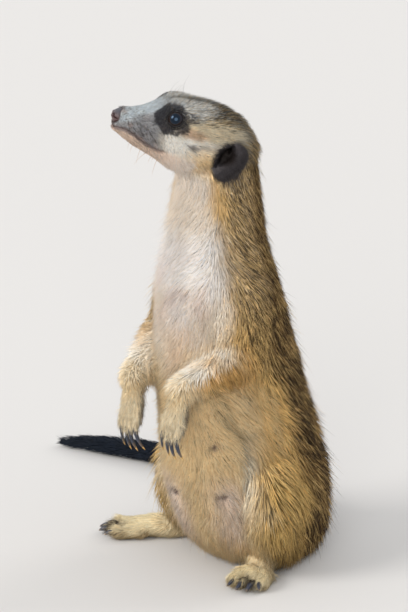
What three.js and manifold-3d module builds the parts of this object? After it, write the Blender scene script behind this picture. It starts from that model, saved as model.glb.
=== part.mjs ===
// A meerkat sitting upright on its haunches, life-size, as a still museum model.
// It looks to its own right, lets both hands hang in front of the chest, and lays its tail round on the floor.
// Millimetres. +X is the animal's left, -Y its front, +Z is up. The origin is on the floor under the pelvis.
// The solids reach out to the tips of the coat. They part at the joints of the body with a thin gap.

import * as THREE from "three";
import { mergeVertices } from "three/addons/utils/BufferGeometryUtils.js";
import Module from "manifold-3d";

const wasm = await Module();
wasm.setup();

// Driving sizes -------------------------------------------------------------------------------------------

const GAP = 0.3; // the cut between two neighbours
const UNDER = 1.2; // how far a resting form dips below the floor before it is cut flat

// The head, in its own frame: side is to its left, ahead is towards the muzzle, up is out of the crown.
const HEAD_AT = [10.8, -5.7, 211]; // the back of the skull
const HEAD_YAW = -32; // degrees, to the animal's right
const HEAD_PITCH = 17.5; // degrees, nose up
const EYE = { side: 13.6, ahead: 47, up: 8.8, radius: 4.8 };
const NOSE = { ahead: 73.2, up: 0.4, long: 3.4, wide: 4.3, tall: 4.1 };
const EAR = { side: 25.6, ahead: 18.5, up: -3, wide: 8.6, tall: 10.3, deep: 7.5, wall: 0.18 };
const EAR_OPEN = 77; // degrees from the bottom of the ear's cup to its rim
const EAR_TURN = 20; // degrees that the cup turns towards the muzzle
const EAR_TILT = 9; // degrees that its rim leans outwards at the foot

// From the back of the skull to the muzzle: distance ahead, crown, jaw and half width.
const SKULL = [
  { ahead: 3, crown: 7, jaw: -10, half: 13 },
  { ahead: 10, crown: 13.4, jaw: -16.5, half: 19.5 },
  { ahead: 21, crown: 18.2, jaw: -20, half: 23 },
  { ahead: 33, crown: 19.4, jaw: -20.5, half: 23.5 },
  { ahead: 43, crown: 18.4, jaw: -18.5, half: 21.5 },
  { ahead: 50, crown: 15, jaw: -16.2, half: 16.5 },
  { ahead: 57, crown: 10.4, jaw: -13.6, half: 12.2 },
  { ahead: 64, crown: 7.2, jaw: -10.6, half: 9.2 },
  { ahead: 71, crown: 4.8, jaw: -7.4, half: 6 },
];

// Trunk and neck, from the floor up: centre y and height of each ring, half width, reach to the front and back.
const AXIS = [
  { y: 8, z: -UNDER, half: 24, front: 20, back: 29 },
  { y: 6, z: 9, half: 33, front: 31, back: 35 },
  { y: 2, z: 30, half: 37, front: 44, back: 38 },
  { y: -4, z: 58, half: 38, front: 47, back: 37 },
  { y: -9, z: 84, half: 36.5, front: 44, back: 35 },
  { y: -14, z: 108, half: 34, front: 41, back: 33 },
  { y: -20, z: 136, half: 32, front: 37, back: 31 },
  { y: -23, z: 156, half: 29, front: 31, back: 28 },
  { y: -24, z: 174, half: 24.5, front: 25, back: 25.5 },
  { y: -24, z: 194, half: 22, front: 21, back: 24 },
  { y: -24, z: 212, half: 20, front: 18, back: 22 },
];
const WAIST = 3.7; // where the abdomen ends and the chest begins, in stations of AXIS
const COLLAR = 7.6; // where the chest ends and the neck begins

// The tail's centre line on the floor, base first: place and half thickness.
const TAIL = [
  { at: [2, 26, 18], half: 13.5 },
  { at: [-8, 46, 10], half: 11 },
  { at: [-38, 63, 7.6], half: 8.6 },
  { at: [-80, 66, 6.9], half: 7.9 },
  { at: [-120, 54, 6.2], half: 7.2 },
  { at: [-155, 41, 5.2], half: 6.2 },
  { at: [-177, 33, 3.4], half: 4.2 },
];
const TAIL_CUTS = [0, 2.2, 4.1, TAIL.length - 1]; // the ends of its three lengths, in stations of TAIL
const TAIL_POINT = 1.6; // how long the tip is, in half thicknesses

// The joints of the limbs.
const LIMBS = {
  left: {
    shoulder: [18, -25, 149],
    elbow: [30, -31, 119],
    wrist: [15.5, -59.5, 104.5],
    handTo: [13, -63, 82],
    hip: [17, 8, 40],
    knee: [36, -19, 42],
    ankle: [16, 8, 12],
    heel: [11, 14, 0],
    toes: [34, -31, 0],
  },
  right: {
    shoulder: [-18, -25, 149],
    elbow: [-35, -20, 119],
    wrist: [-22, -57, 100],
    handTo: [-20, -61, 77],
    hip: [-17, 8, 40],
    knee: [-34.5, -17, 42],
    ankle: [-26, 3, 12],
    heel: [-24, 6, 0],
    toes: [-64, -33, 0],
  },
};
const UPPER_ARM = { shoulder: 18, middle: 16, elbow: 13, flat: 0.8 }; // half depths, and its breadth as a share
const FOREARM = [[0, 12], [0.35, 11], [0.75, 8.6], [1, 7.4]]; // share of the way to the wrist, half thickness
const THIGH = [
  { share: 0, wide: 22, over: 33, under: 22 },
  { share: 0.5, wide: 20, over: 30, under: 23 },
  { share: 1, wide: 14.5, over: 22, under: 21 },
];
const SHANK = { knee: 12.5, calf: 14.5, ankle: 11.5, kneeDrop: 15, calfDrop: 9, calfAt: 0.55 };
const HAND = { length: 22, wide: 6.6, thick: 5.2, wrist: 7, finger: 2.8, spread: 3.1, claw: 15, clawHalf: 1.4 };
const FOOT = { length: 53, toe: 4.1, toeRoot: 4.5, spread: 4.9, claw: 7.5, clawHalf: 1.6, clawUp: 4.6 };
// The sole, heel first: share of the foot's length, height of its line, half width, reach over that line.
const SOLE = [
  { share: 0.1, up: 7, wide: 7, over: 7.5 },
  { share: 0.4, up: 6, wide: 7.4, over: 7 },
  { share: 0.75, up: 5, wide: 8.6, over: 6 },
  { share: 0.92, up: 4.5, wide: 8.6, over: 4.5 },
];
const DIGITS = 4; // on each hand and foot
const ARCH = 0.012; // how much further back an outer digit ends, as a share of the paw for each mm of spread

const COLOURS = {
  head: [0xb9ad97, 0.9],
  nose: [0x3a2c2a, 0.45],
  eye: [0x120c0a, 0.08],
  ear: [0x2b2725, 0.9],
  neck: [0xc9b48f, 0.9],
  trunk: [0xb69a6c, 0.92],
  limb: [0xc19a5c, 0.92],
  paw: [0xd0bd8c, 0.9],
  claw: [0x2c2c33, 0.35],
  tail: [0x3a2f28, 0.92],
};

// Geometry helpers ----------------------------------------------------------------------------------------

const vec = (p) => new THREE.Vector3(...p);
const UP = new THREE.Vector3(0, 0, 1);
const LEFT = new THREE.Vector3(1, 0, 0);
const BACKWARD = new THREE.Vector3(0, 1, 0);
const radians = THREE.MathUtils.degToRad;

// Places between two points, and a point moved along a direction.
const between = (a, b, share) => vec(a).lerp(vec(b), share).toArray();
const moved = (p, direction, by) => vec(p).addScaledVector(direction, by).toArray();

// Distances from the middle of `count` digits that stand `spread` apart.
const offsets = (count, spread) => Array.from({ length: count }, (_, i) => (i - (count - 1) / 2) * spread);

// A closed body from rings of points, closed at each end by a point.
function closeRings(rings, first, last) {
  const sides = rings[0].length;
  const points = [...rings.flat(), first, last];
  const faces = [];
  rings.slice(1).forEach((_, r) => {
    for (let i = 0; i < sides; i++) {
      const j = (i + 1) % sides;
      const [a, b] = [r * sides + i, r * sides + j];
      faces.push(a, b, b + sides, a, b + sides, a + sides);
    }
  });
  const top = (rings.length - 1) * sides;
  for (let i = 0; i < sides; i++) {
    const j = (i + 1) % sides;
    faces.push(points.length - 2, j, i, points.length - 1, top + i, top + j);
  }
  return new THREE.BufferGeometry().setFromPoints(points).setIndex(faces);
}

// A body along a smooth line through stations {at, wide, over, under}: half width, and reach along and against
// the normal that lies nearest to `normal`. It runs from station `from` to station `to`, grown by `grow`.
// An end is flat, or a dome as long as `dome` times the ring's mean size, with rings at the angles of `bulge`.
function loft(stations, options) {
  const { normal = UP, sides = 12, perStation = 2, domes = [1, 1], bulge = [30, 60], grow = 0 } = options;
  const last = stations.length - 1;
  const from = options.from ?? 0;
  const end = options.to ?? last;
  const smooth = (points) => new THREE.CatmullRomCurve3(points, false, "centripetal");
  const line = smooth(stations.map((s) => vec(s.at)));
  const sizes = smooth(stations.map((s) => new THREE.Vector3(s.wide, s.over, s.under)));

  const frame = (k) => {
    const along = line.getTangent(k / last);
    const side = new THREE.Vector3().crossVectors(normal, along).normalize();
    const up = new THREE.Vector3().crossVectors(along, side);
    return { at: line.getPoint(k / last), along, side, up, size: sizes.getPoint(k / last).addScalar(grow) };
  };
  const ring = ({ at, along, side, up, size }, scale = 1, ahead = 0) =>
    Array.from({ length: sides }, (_, i) => {
      const turn = (2 * Math.PI * i) / sides;
      const reach = Math.sin(turn) > 0 ? size.y : size.z;
      return at.clone()
        .addScaledVector(along, ahead)
        .addScaledVector(side, Math.cos(turn) * size.x * scale)
        .addScaledVector(up, Math.sin(turn) * reach * scale);
    });

  const count = Math.max(1, Math.round((end - from) * perStation));
  const rings = Array.from({ length: count + 1 }, (_, k) => ring(frame(from + ((end - from) * k) / count)));
  const tips = [[from, -1, domes[0]], [end, 1, domes[1]]].map(([k, way, dome]) => {
    const f = frame(k);
    const length = dome ? (dome * (f.size.x + f.size.y + f.size.z)) / 3 : grow;
    const caps = dome
      ? bulge.map((angle) => ring(f, Math.cos(radians(angle)), way * length * Math.sin(radians(angle))))
      : grow ? [ring(f, 1, way * length)] : [];
    if (way > 0) rings.push(...caps);
    else rings.unshift(...caps.reverse());
    return f.at.clone().addScaledVector(f.along, way * length);
  });
  return closeRings(rings, tips[0], tips[1]);
}

// A round limb through [place, half thickness] pairs. `flat` squeezes it along its normal.
function limb(pairs, options) {
  const flat = options.flat ?? 1;
  return loft(pairs.map(([at, half]) => ({ at, wide: half, over: half * flat, under: half * flat })), options);
}

function solidOf(geometry) {
  const bare = new THREE.BufferGeometry();
  bare.setAttribute("position", geometry.getAttribute("position"));
  bare.setIndex(geometry.index);
  const merged = mergeVertices(bare, 1e-4);
  return new wasm.Manifold(new wasm.Mesh({
    numProp: 3,
    vertProperties: merged.attributes.position.array,
    triVerts: new Uint32Array(merged.index.array),
  }));
}

const join = (geometries) => geometries.map(solidOf).reduce((all, one) => all.add(one));

// Groups --------------------------------------------------------------------------------------------------

const meerkat = new THREE.Group();

// A group of the body at `at`, turned by the angles of `turn` in degrees.
function groupAt(at, turn = [0, 0, 0]) {
  const group = new THREE.Group();
  group.position.set(...at);
  group.rotation.set(...turn.map(radians), "ZXY");
  meerkat.add(group);
  group.updateWorldMatrix(true, false);
  return group;
}

const headGroup = groupAt(HEAD_AT, [-HEAD_PITCH, 0, HEAD_YAW]);
const trunkGroup = groupAt([0, 0, 0]);
const tailGroup = groupAt(TAIL[0].at);
const onHead = (geometry) => geometry.applyMatrix4(headGroup.matrixWorld);

// The head ------------------------------------------------------------------------------------------------

function headForm(grow) {
  const stations = SKULL.map(({ ahead, crown, jaw, half }) => {
    const middle = (crown + jaw) / 2 + 1;
    return { at: [0, -ahead, middle], wide: half, over: crown - middle, under: middle - jaw };
  });
  return solidOf(onHead(loft(stations, { sides: 20, perStation: 1.4, domes: [0.3, 0.4], grow })));
}

function noseForm(grow) {
  const pad = new THREE.SphereGeometry(1, 10, 7);
  pad.scale(NOSE.wide + grow, NOSE.long + grow, NOSE.tall + grow);
  return solidOf(onHead(pad.translate(0, -NOSE.ahead, NOSE.up)));
}

const eyeForm = (side) => (grow) => {
  const ball = new THREE.SphereGeometry(EYE.radius + grow, 10, 7);
  return solidOf(onHead(ball.translate(side * EYE.side, -EYE.ahead, EYE.up)));
};

// An ear is a cup that opens outwards and ahead. Its profile runs out along the back and home along the hollow.
const earForm = (side) => (grow) => {
  const steps = 4;
  const arc = (size) => Array.from({ length: steps + 1 }, (_, i) => {
    const turn = radians((i / steps) * EAR_OPEN);
    return new THREE.Vector2(i ? Math.sin(turn) * size : 0, -Math.cos(turn) * size);
  });
  const hollow = 1 - EAR.wall - grow / EAR.wide;
  const cup = new THREE.LatheGeometry([...arc(1), ...arc(hollow).reverse()], 16);
  cup.scale(EAR.wide, EAR.deep, EAR.tall);
  cup.rotateZ(radians(-side * (90 + EAR_TURN)));
  cup.rotateY(radians(-side * EAR_TILT));
  return solidOf(onHead(cup.translate(side * EAR.side, -EAR.ahead, EAR.up)));
};

// Trunk, neck and tail ------------------------------------------------------------------------------------

const axisStations = AXIS.map(({ y, z, half, front, back }) =>
  ({ at: [0, y, z], wide: half, over: back, under: front }));
const axisForm = (from, to) => (grow) =>
  solidOf(loft(axisStations, { normal: BACKWARD, sides: 22, perStation: 1.5, from, to, domes: [0, 0], grow }));

const tailStations = TAIL.map(({ at, half }) => ({ at, wide: half, over: half, under: half }));
const tailForm = (from, to) => (grow) => {
  const domes = [0, to === TAIL.length - 1 ? TAIL_POINT : 0];
  return solidOf(loft(tailStations, { sides: 10, from, to, domes, grow }));
};

// Arms and hands ------------------------------------------------------------------------------------------

const upperArmForm = ({ shoulder, elbow }) => (grow) => solidOf(limb([
  [shoulder, UPPER_ARM.shoulder],
  [between(shoulder, elbow, 0.5), UPPER_ARM.middle],
  [elbow, UPPER_ARM.elbow],
], { normal: LEFT, flat: UPPER_ARM.flat, grow }));

const forearmForm = ({ elbow, wrist }) => (grow) =>
  solidOf(limb(FOREARM.map(([share, half]) => [between(elbow, wrist, share), half]),
    { perStation: 1, domes: [0, 1], grow }));

// The directions of a hand: ahead to its tip, across towards the animal's left, and out of its back.
function handFrame({ wrist, handTo }) {
  const ahead = vec(handTo).sub(vec(wrist)).normalize();
  const across = new THREE.Vector3().crossVectors(ahead, BACKWARD).normalize();
  return { ahead, across, back: new THREE.Vector3().crossVectors(ahead, across) };
}

// The end of the finger that stands `by` from the middle of the hand.
function fingerTip(joints, by) {
  const { ahead, across } = handFrame(joints);
  return moved(moved(joints.wrist, ahead, HAND.length * (1 - Math.abs(by) * ARCH)), across, by);
}

const handForm = (joints) => (grow) => {
  const { ahead, across } = handFrame(joints);
  const along = (share) => moved(joints.wrist, ahead, HAND.length * share);
  const palm = limb([[along(0), HAND.wrist], [along(0.45), HAND.wide], [along(0.8), HAND.wide]], {
    normal: BACKWARD, flat: HAND.thick / HAND.wide, sides: 10, perStation: 1, domes: [1, 0.5], grow,
  });
  const fingers = offsets(DIGITS, HAND.spread).map((by) =>
    limb([[moved(along(0.5), across, by * 0.9), HAND.finger], [fingerTip(joints, by), HAND.finger]],
      { normal: across, sides: 6, perStation: 1, domes: [0, 1], grow }));
  return join([palm, ...fingers]);
};

// A claw bends from its root towards the palm or sole and thins to a point.
function claw(root, ahead, palmar, length, half, grow) {
  const at = (share, drop) => moved(moved(root, ahead, length * share), palmar, length * drop);
  const bend = [
    [root, half],
    [at(0.35, 0.02), half * 0.9],
    [at(0.7, 0.12), half * 0.62],
    [at(0.96, 0.3), half * 0.3],
  ];
  return solidOf(limb(bend, { normal: palmar, sides: 5, perStation: 1, domes: [0, 1.5], bulge: [], grow }));
}

const handClawForm = (joints, by) => (grow) => {
  const { ahead, back } = handFrame(joints);
  const root = moved(fingerTip(joints, by), back, 0.8);
  return claw(root, ahead, back.clone().negate(), HAND.claw, HAND.clawHalf, grow);
};

// Legs and feet -------------------------------------------------------------------------------------------

// A thigh is deeper than it is wide: a flat oval that lies along the side of the belly.
const thighForm = ({ hip, knee }) => (grow) =>
  solidOf(loft(THIGH.map(({ share, ...size }) => ({ at: between(hip, knee, share), ...size })),
    { sides: 14, perStation: 1.5, domes: [0.8, 0.7], grow }));

const shankForm = ({ knee, ankle }) => (grow) => solidOf(limb([
  [moved(knee, UP, -SHANK.kneeDrop), SHANK.knee],
  [moved(between(knee, ankle, SHANK.calfAt), UP, -SHANK.calfDrop), SHANK.calf],
  [ankle, SHANK.ankle],
], { normal: LEFT, grow }));

// A place in a foot: a share of its length from the heel, a distance across it and a height.
function onFoot({ heel, toes }, share, by, up) {
  const ahead = vec(toes).sub(vec(heel)).normalize();
  const across = new THREE.Vector3().crossVectors(UP, ahead);
  return moved(moved(moved(heel, ahead, FOOT.length * share), across, by), UP, up);
}

const footForm = (joints) => (grow) => {
  const sole = loft(SOLE.map(({ share, up, wide, over }) =>
    ({ at: onFoot(joints, share, 0, up), wide, over, under: up + UNDER })),
  { sides: 10, perStation: 1.5, domes: [0.7, 0.5], grow });
  const toes = offsets(DIGITS, FOOT.spread).map((by) => limb([
    [onFoot(joints, 0.75, by * 0.8, FOOT.toe), FOOT.toeRoot],
    [onFoot(joints, 1.08 - Math.abs(by) * ARCH, by * 1.05, FOOT.toe - 0.6), FOOT.toe],
  ], { sides: 6, perStation: 1, domes: [0, 1], grow }));
  return join([sole, ...toes]);
};

const footClawForm = (joints, by) => (grow) => {
  const ahead = vec(joints.toes).sub(vec(joints.heel)).normalize();
  const root = onFoot(joints, 1.12 - Math.abs(by) * ARCH, by * 1.08, FOOT.clawUp);
  return claw(root, ahead, UP.clone().negate(), FOOT.claw, FOOT.clawHalf, grow);
};

// The nodes -----------------------------------------------------------------------------------------------

// Name, colour, form and group, in the order in which each keeps its whole form. A later one gives way.
const nodes = [
  ["nose", "nose", noseForm, headGroup],
  ["eye_left", "eye", eyeForm(1), headGroup],
  ["eye_right", "eye", eyeForm(-1), headGroup],
  ["head", "head", headForm, headGroup],
  ["ear_left", "ear", earForm(1), headGroup],
  ["ear_right", "ear", earForm(-1), headGroup],
  ["abdomen", "trunk", axisForm(0, WAIST), trunkGroup],
  ["chest", "trunk", axisForm(WAIST, COLLAR), trunkGroup],
  ["neck", "neck", axisForm(COLLAR, AXIS.length - 1), trunkGroup],
];
for (const [side, joints] of Object.entries(LIMBS)) {
  const [arm, leg] = [groupAt(joints.shoulder), groupAt(joints.hip)];
  nodes.push(
    [`foot_${side}`, "paw", footForm(joints), leg],
    [`thigh_${side}`, "limb", thighForm(joints), leg],
    [`shank_${side}`, "limb", shankForm(joints), leg],
    [`hand_${side}`, "paw", handForm(joints), arm],
    [`upper_arm_${side}`, "limb", upperArmForm(joints), arm],
    [`forearm_${side}`, "limb", forearmForm(joints), arm],
  );
  offsets(DIGITS, HAND.spread).forEach((by, i) =>
    nodes.push([`hand_claw_${side}_${i + 1}`, "claw", handClawForm(joints, by), arm]));
  offsets(DIGITS, FOOT.spread).forEach((by, i) =>
    nodes.push([`foot_claw_${side}_${i + 1}`, "claw", footClawForm(joints, by), leg]));
}
TAIL_CUTS.slice(1).forEach((to, i) =>
  nodes.push([`tail_${i + 1}`, "tail", tailForm(TAIL_CUTS[i], to), tailGroup]));

// A mesh of a solid, placed at the middle of its own shape inside its group.
function meshOf(name, solid, kind, group) {
  const { numProp, numVert, vertProperties, triVerts } = solid.getMesh();
  const points = new Float32Array(numVert * 3);
  for (let i = 0; i < numVert; i++) {
    points.set(vertProperties.subarray(i * numProp, i * numProp + 3), i * 3);
  }
  const geometry = new THREE.BufferGeometry();
  geometry.setAttribute("position", new THREE.BufferAttribute(points, 3));
  geometry.setIndex(new THREE.BufferAttribute(triVerts, 1));
  geometry.applyMatrix4(group.matrixWorld.clone().invert());
  geometry.computeBoundingBox();
  const middle = geometry.boundingBox.getCenter(new THREE.Vector3());
  geometry.translate(-middle.x, -middle.y, -middle.z);
  geometry.computeVertexNormals();
  const [color, roughness] = COLOURS[kind];
  const mesh = new THREE.Mesh(geometry, new THREE.MeshStandardMaterial({ color, roughness, metalness: 0 }));
  mesh.name = name;
  mesh.position.copy(middle);
  return mesh;
}

const aboveFloor = solidOf(new THREE.BoxGeometry(1000, 1000, 500).translate(0, 0, 250));
const largest = (solid) => solid.decompose().reduce((a, b) => (a.volume() > b.volume() ? a : b));

let taken = null;
for (const [name, kind, form, group] of nodes) {
  const whole = form(0).intersect(aboveFloor);
  const left = largest(taken ? whole.subtract(taken) : whole);
  group.add(meshOf(name, left, kind, group));
  const grown = form(GAP);
  taken = taken ? taken.add(grown) : grown;
}

export default meerkat;
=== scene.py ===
import itertools
import math

import bmesh
import bpy
import numpy as np
from mathutils import Matrix, Vector
from mathutils.bvhtree import BVHTree


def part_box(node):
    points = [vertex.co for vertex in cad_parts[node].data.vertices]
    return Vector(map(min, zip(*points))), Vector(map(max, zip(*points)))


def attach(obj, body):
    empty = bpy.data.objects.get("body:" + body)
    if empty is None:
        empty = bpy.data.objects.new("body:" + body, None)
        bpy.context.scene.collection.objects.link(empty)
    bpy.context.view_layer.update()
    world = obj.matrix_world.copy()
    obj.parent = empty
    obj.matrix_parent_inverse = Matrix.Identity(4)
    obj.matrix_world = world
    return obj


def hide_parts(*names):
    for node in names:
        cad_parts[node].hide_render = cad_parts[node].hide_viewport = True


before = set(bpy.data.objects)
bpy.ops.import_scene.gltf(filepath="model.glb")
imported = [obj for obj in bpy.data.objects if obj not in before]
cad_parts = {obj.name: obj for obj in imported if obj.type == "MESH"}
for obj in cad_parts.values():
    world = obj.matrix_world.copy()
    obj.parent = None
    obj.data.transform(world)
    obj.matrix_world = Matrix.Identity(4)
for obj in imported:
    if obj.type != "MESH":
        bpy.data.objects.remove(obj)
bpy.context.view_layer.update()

# A meerkat that sits upright on its haunches, life size.
# Its +X is the animal's left, -Y its front and +Z up. Shapes are worked out in millimetres here,
# and every object is written in metres.
MM = 0.001
SEED = 41
SIDES = {"left": 1.0, "right": -1.0}
DIGITS = (1, 2, 3, 4)
UP = np.array([0, 0, 1.0])
FLOOR_CLEAR = 0.2

# The head, measured in its own frame: to the animal's left, ahead of the back of the skull, and up.
EYE_AT = (13.6, 47.0, 8.8)
NOSE_DROP = (26.2, 8.4)  # how far the nose lies ahead of the eyes, and below them
NOSE_AT = (0, 72.6, 0.4)  # the middle of the bare pad

EAR_AT = (23.4, 17.5, -3.1)
EAR_TURN = 16.0  # degrees that the rim's plane turns towards the muzzle
EAR_LEAN = 0.16
# The ear's rim, from the foot in front, round behind, to the top in front: (back, up, out, half thickness).
EAR_RIM = [
    (-6.8, -4.6, -3.0, 1.4),
    (-5.2, -7.4, -1.2, 2.3),
    (-2.2, -6.8, 0.3, 3.0),
    (1.2, -3.3, 1.0, 3.4),
    (3.8, 1.4, 1.2, 3.4),
    (4.4, 5.6, 0.5, 2.8),
    (1.5, 8.4, -0.8, 2.1),
    (-1.8, 9.0, -2.4, 1.6),
    (-4.6, 7.6, -4.2, 1.2),
]
EAR_BOWL = dict(at=(-0.6, 0.6, -3.0), size=(6.0, 8.4, 4.4))
EAR_HOLLOW = dict(at=(-3.0, 2.4), long=6.3, wide=3.2, lean=24.0, deep=4.6)
EAR_FOLD = dict(at=(-3.4, 6.0), reach=2.3, high=1.9)  # the ridge inside the hollow

EYE_RADIUS = 4.8
EYE_SINK = 1.5  # how much deeper than its node an eyeball sits, along its gaze
GAZE = (0.86, 0.44, 0.20)  # the way that the left eye looks
EYE_OPEN = (49.0, 43.0)  # half the lids' opening round the eyeball: degrees along the slit and across it
EYE_SLIT = (-0.30, 1.0, -0.42)  # from the middle of the eye to its inner corner
LID = 0.42  # how thick the lids are
LID_EDGE = 4.7  # the ring of skin round the gaze's axis that is wrapped over the front of the eyeball
LID_TURN = 62.0  # degrees round the eyeball that it reaches
LID_SLOPE = 0.32  # how fast the skin falls away outside that ring
LID_RIM = 4.4  # how far the lids' edge lies from the gaze's axis
OPENING_SINK = 1.2  # how far inside the eyeball the skin of the opening lies
SOCKET = 12.0  # where the skin round the eye is the head's own again

# The mouth, as (ahead, up) from under the nose to its corner.
MOUTH = [(74.5, -5.2), (72.0, -4.4), (68.5, -3.9), (64.5, -4.5), (57.5, -7.3), (51.0, -8.5), (46.5, -7.4)]
MOUTH_BACK = 40  # the lips lie ahead of this

# Soft swellings of the head: (side, ahead, up), reach and height.
SWELLINGS = [
    ((7.5, 63.0, -0.5), 6.5, 0.9),  # the whisker pads
    ((3.5, 69.5, -3.0), 3.4, 0.5),
    ((11.5, 45.0, 15.5), 6.0, 1.0),  # the brows
    ((17.5, 38.0, -6.0), 10.0, 0.8),  # the cheeks
    ((14.0, 53.5, 5.5), 3.2, -0.5),  # the corner before the eye
    ((0.0, 55.0, 14.0), 6.0, -0.5),  # the bridge
    ((0.0, 69.5, 6.6), 4.2, 0.9),  # round the nose
    ((3.0, 70.5, 2.6), 3.6, 0.9),
    ((1.5, 72.0, -3.2), 3.8, 1.2),
]

# For each part: how deep the coat lies over it, how much of the smoothing it takes, the tufts' length and
# breadth, and how many layers of them lie over one another.
PARTS = {
    "head": dict(depth=1.5, calm=0.35, length=3.4, breadth=0.36, layers=3.7),
    "neck": dict(depth=3.4, calm=1.0, length=7.5, breadth=0.38, layers=3.8),
    "chest": dict(depth=4.0, calm=1.0, length=9.0, breadth=0.42, layers=4.0),
    "abdomen": dict(depth=3.6, calm=1.0, length=10.5, breadth=0.46, layers=4.1),
    "upper_arm": dict(depth=3.0, calm=0.8, length=7.5, breadth=0.42, layers=3.7),
    "forearm": dict(depth=2.4, calm=0.45, length=6.5, breadth=0.40, layers=3.7),
    "hand": dict(depth=0.7, calm=0.06, length=4.0, breadth=0.36, layers=3.0),
    "thigh": dict(depth=5.0, calm=1.0, length=13.0, breadth=0.48, layers=4.2),
    "shank": dict(depth=4.2, calm=0.8, length=11.0, breadth=0.48, layers=4.1),
    "foot": dict(depth=0.8, calm=0.4, length=4.6, breadth=0.38, layers=3.2),
    "tail": dict(depth=2.0, calm=0.4, length=6.4, breadth=0.46, layers=3.0),
}
WELD = 0.45  # how far each node swells before they are joined, to close the cuts between them
VOXEL = 0.9  # the size of the cells that the joined flesh is built from
TRUNK_SHARE = 0.16  # of the joined surface's triangles that are left where the coat hides them
CALM = 34  # rounds of smoothing that take the solids' facets and joins away
BLEND = 4.0  # how far the parts' properties run into one another
DEPTH_CALM = 90  # rounds that even out the coat's depth over the skin
SNOUT_DEPTH, EAR_DEPTH = 0.5, 0.1  # how deep the coat lies there

# The digits: how far apart they lie against their nodes', how far back the grooves between them run, how deep
# and wide those are, and how high a digit's end swells and how far round it.
# The claws: how far back into its digit one goes, how far below its node its root lies, half its breadth,
# how far along the horn's colours its tip comes, how far apart the tips lie against their nodes', and the
# share of its length that is worn off.
PAWS = {
    "hand": dict(spread=1.3, length=9.0, groove=(1.3, 0.8), swelling=(0.7, 2.6), claw_root=3.0,
                 claw_sink=0.0, claw_breadth=0.9, claw_ochre=1.0, claw_spread=1.2, claw_worn=0.0),
    "foot": dict(spread=1.0, length=15.0, groove=(2.6, 1.3), swelling=(1.5, 4.6), claw_root=4.0,
                 claw_sink=1.3, claw_breadth=1.25, claw_ochre=0.84, claw_spread=1.08, claw_worn=0.16),
}
GROOVE_AHEAD = 3  # how far ahead of the claws' roots the grooves between the digits start
CLAW_DEPTH = 1.35  # a claw's depth against its breadth
CLAW_RINGS, CLAW_SIDES = 14, 14
CLAW_LOW = 1.2  # the lowest that a claw's tip lies
# Places along a finger: how far ahead of its claw's root, and the half width there.
FINGER = [(-7.0, 1.25), (-4.5, 1.5), (-2.0, 1.45), (0.0, 1.3), (1.4, 1.1)]
PALM_END = -3.2  # where the palm ends, on the same scale
PALM_REACH = 24  # how far from a hand's middle its palm can lie
PALM_DRAW = 0.8  # how much of what lies past the palm's end is drawn back


# ---- Arrays ----

def norms(v):
    """The length of each row of v."""
    return np.linalg.norm(v, axis=-1)


def unit(v):
    """Each row of v at length 1."""
    return v / np.maximum(np.linalg.norm(v, axis=-1, keepdims=True), 1e-9)


def ramp(x, low, high):
    """0 up to low, 1 from high on, and a smooth rise between."""
    t = np.clip((x - low) / (high - low), 0, 1)
    return t * t * (3 - 2 * t)


def fall(x, low, high):
    """1 up to low, 0 from high on, and a smooth fall between."""
    return 1 - ramp(x, low, high)


def bump(x, centre, reach):
    """1 at the centre, falling smoothly to 0 at `reach` on either side."""
    return fall(np.abs(x - centre), 0, reach)


def bell(x, width):
    """1 at 0, and a long fall to either side."""
    return np.exp(-((x / width) ** 2))


def mixed(a, b, share):
    """a where share is 0 and b where it is 1."""
    return a + (b - a) * share


def mirrored(place, side):
    """A place or direction of the left side, on the side that is asked for."""
    return np.array(place) * [SIDES[side], 1, 1]


def column(items, name, size=1, kind=float):
    """A property of every item, as one value or one row of `size` values each."""
    flat = np.empty(len(items) * size, kind)
    items.foreach_get(name, flat)
    return flat.reshape(-1, size) if size > 1 else flat


# ---- Landmarks ----

def points_of(name):
    """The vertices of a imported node, in millimetres."""
    return column(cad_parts[name].data.vertices, "co", 3) / MM


def middle_of(name):
    low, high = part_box(name)
    return np.array((low + high) / 2) / MM


def end_of(name, near=None, far=None, share=0.15):
    """The middle of the vertices of a node that lie nearest to one point, or furthest from another."""
    points = points_of(name)
    order = np.argsort(norms(points - near) if far is None else -norms(points - far))
    return points[order[: max(3, int(len(points) * share))]].mean(axis=0)


def elbow_of(side):
    return end_of(f"forearm_{side}", near=middle_of(f"upper_arm_{side}"))


class Frame:
    """Three axes and an origin, in the coordinates outside it."""

    def __init__(self, axes, origin):
        self.axes = np.stack(axes)
        self.origin = origin

    def local(self, points):
        return (points - self.origin) @ self.axes.T

    def turned(self, directions):
        return directions @ self.axes

    def outer(self, places):
        return self.turned(places) + self.origin


def head_frame():
    """The head's frame, from the eyes and the nose. Its coordinates are (side, ahead, up)."""
    left, right, nose = (middle_of(n) for n in ("eye_left", "eye_right", "nose"))
    between = (left + right) / 2
    side = unit(left - right)
    sight = nose - between
    sight = unit(sight - side * (sight @ side))
    ahead = unit(sight * NOSE_DROP[0] + np.cross(sight, side) * NOSE_DROP[1])
    up = np.cross(ahead, side)
    return Frame([side, ahead, up], between - ahead * EYE_AT[1] - up * EYE_AT[2])


def ear_frame(side):
    """An ear's frame in the head's: towards the back and up in the plane of its rim, and out of it."""
    turn = math.radians(EAR_TURN)
    out = unit(mirrored([math.cos(turn), math.sin(turn), EAR_LEAN], side))
    up = unit(UP - out * out[2])
    return Frame([np.cross(out, up) * SIDES[side], up, out], mirrored(EAR_AT, side))


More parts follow.
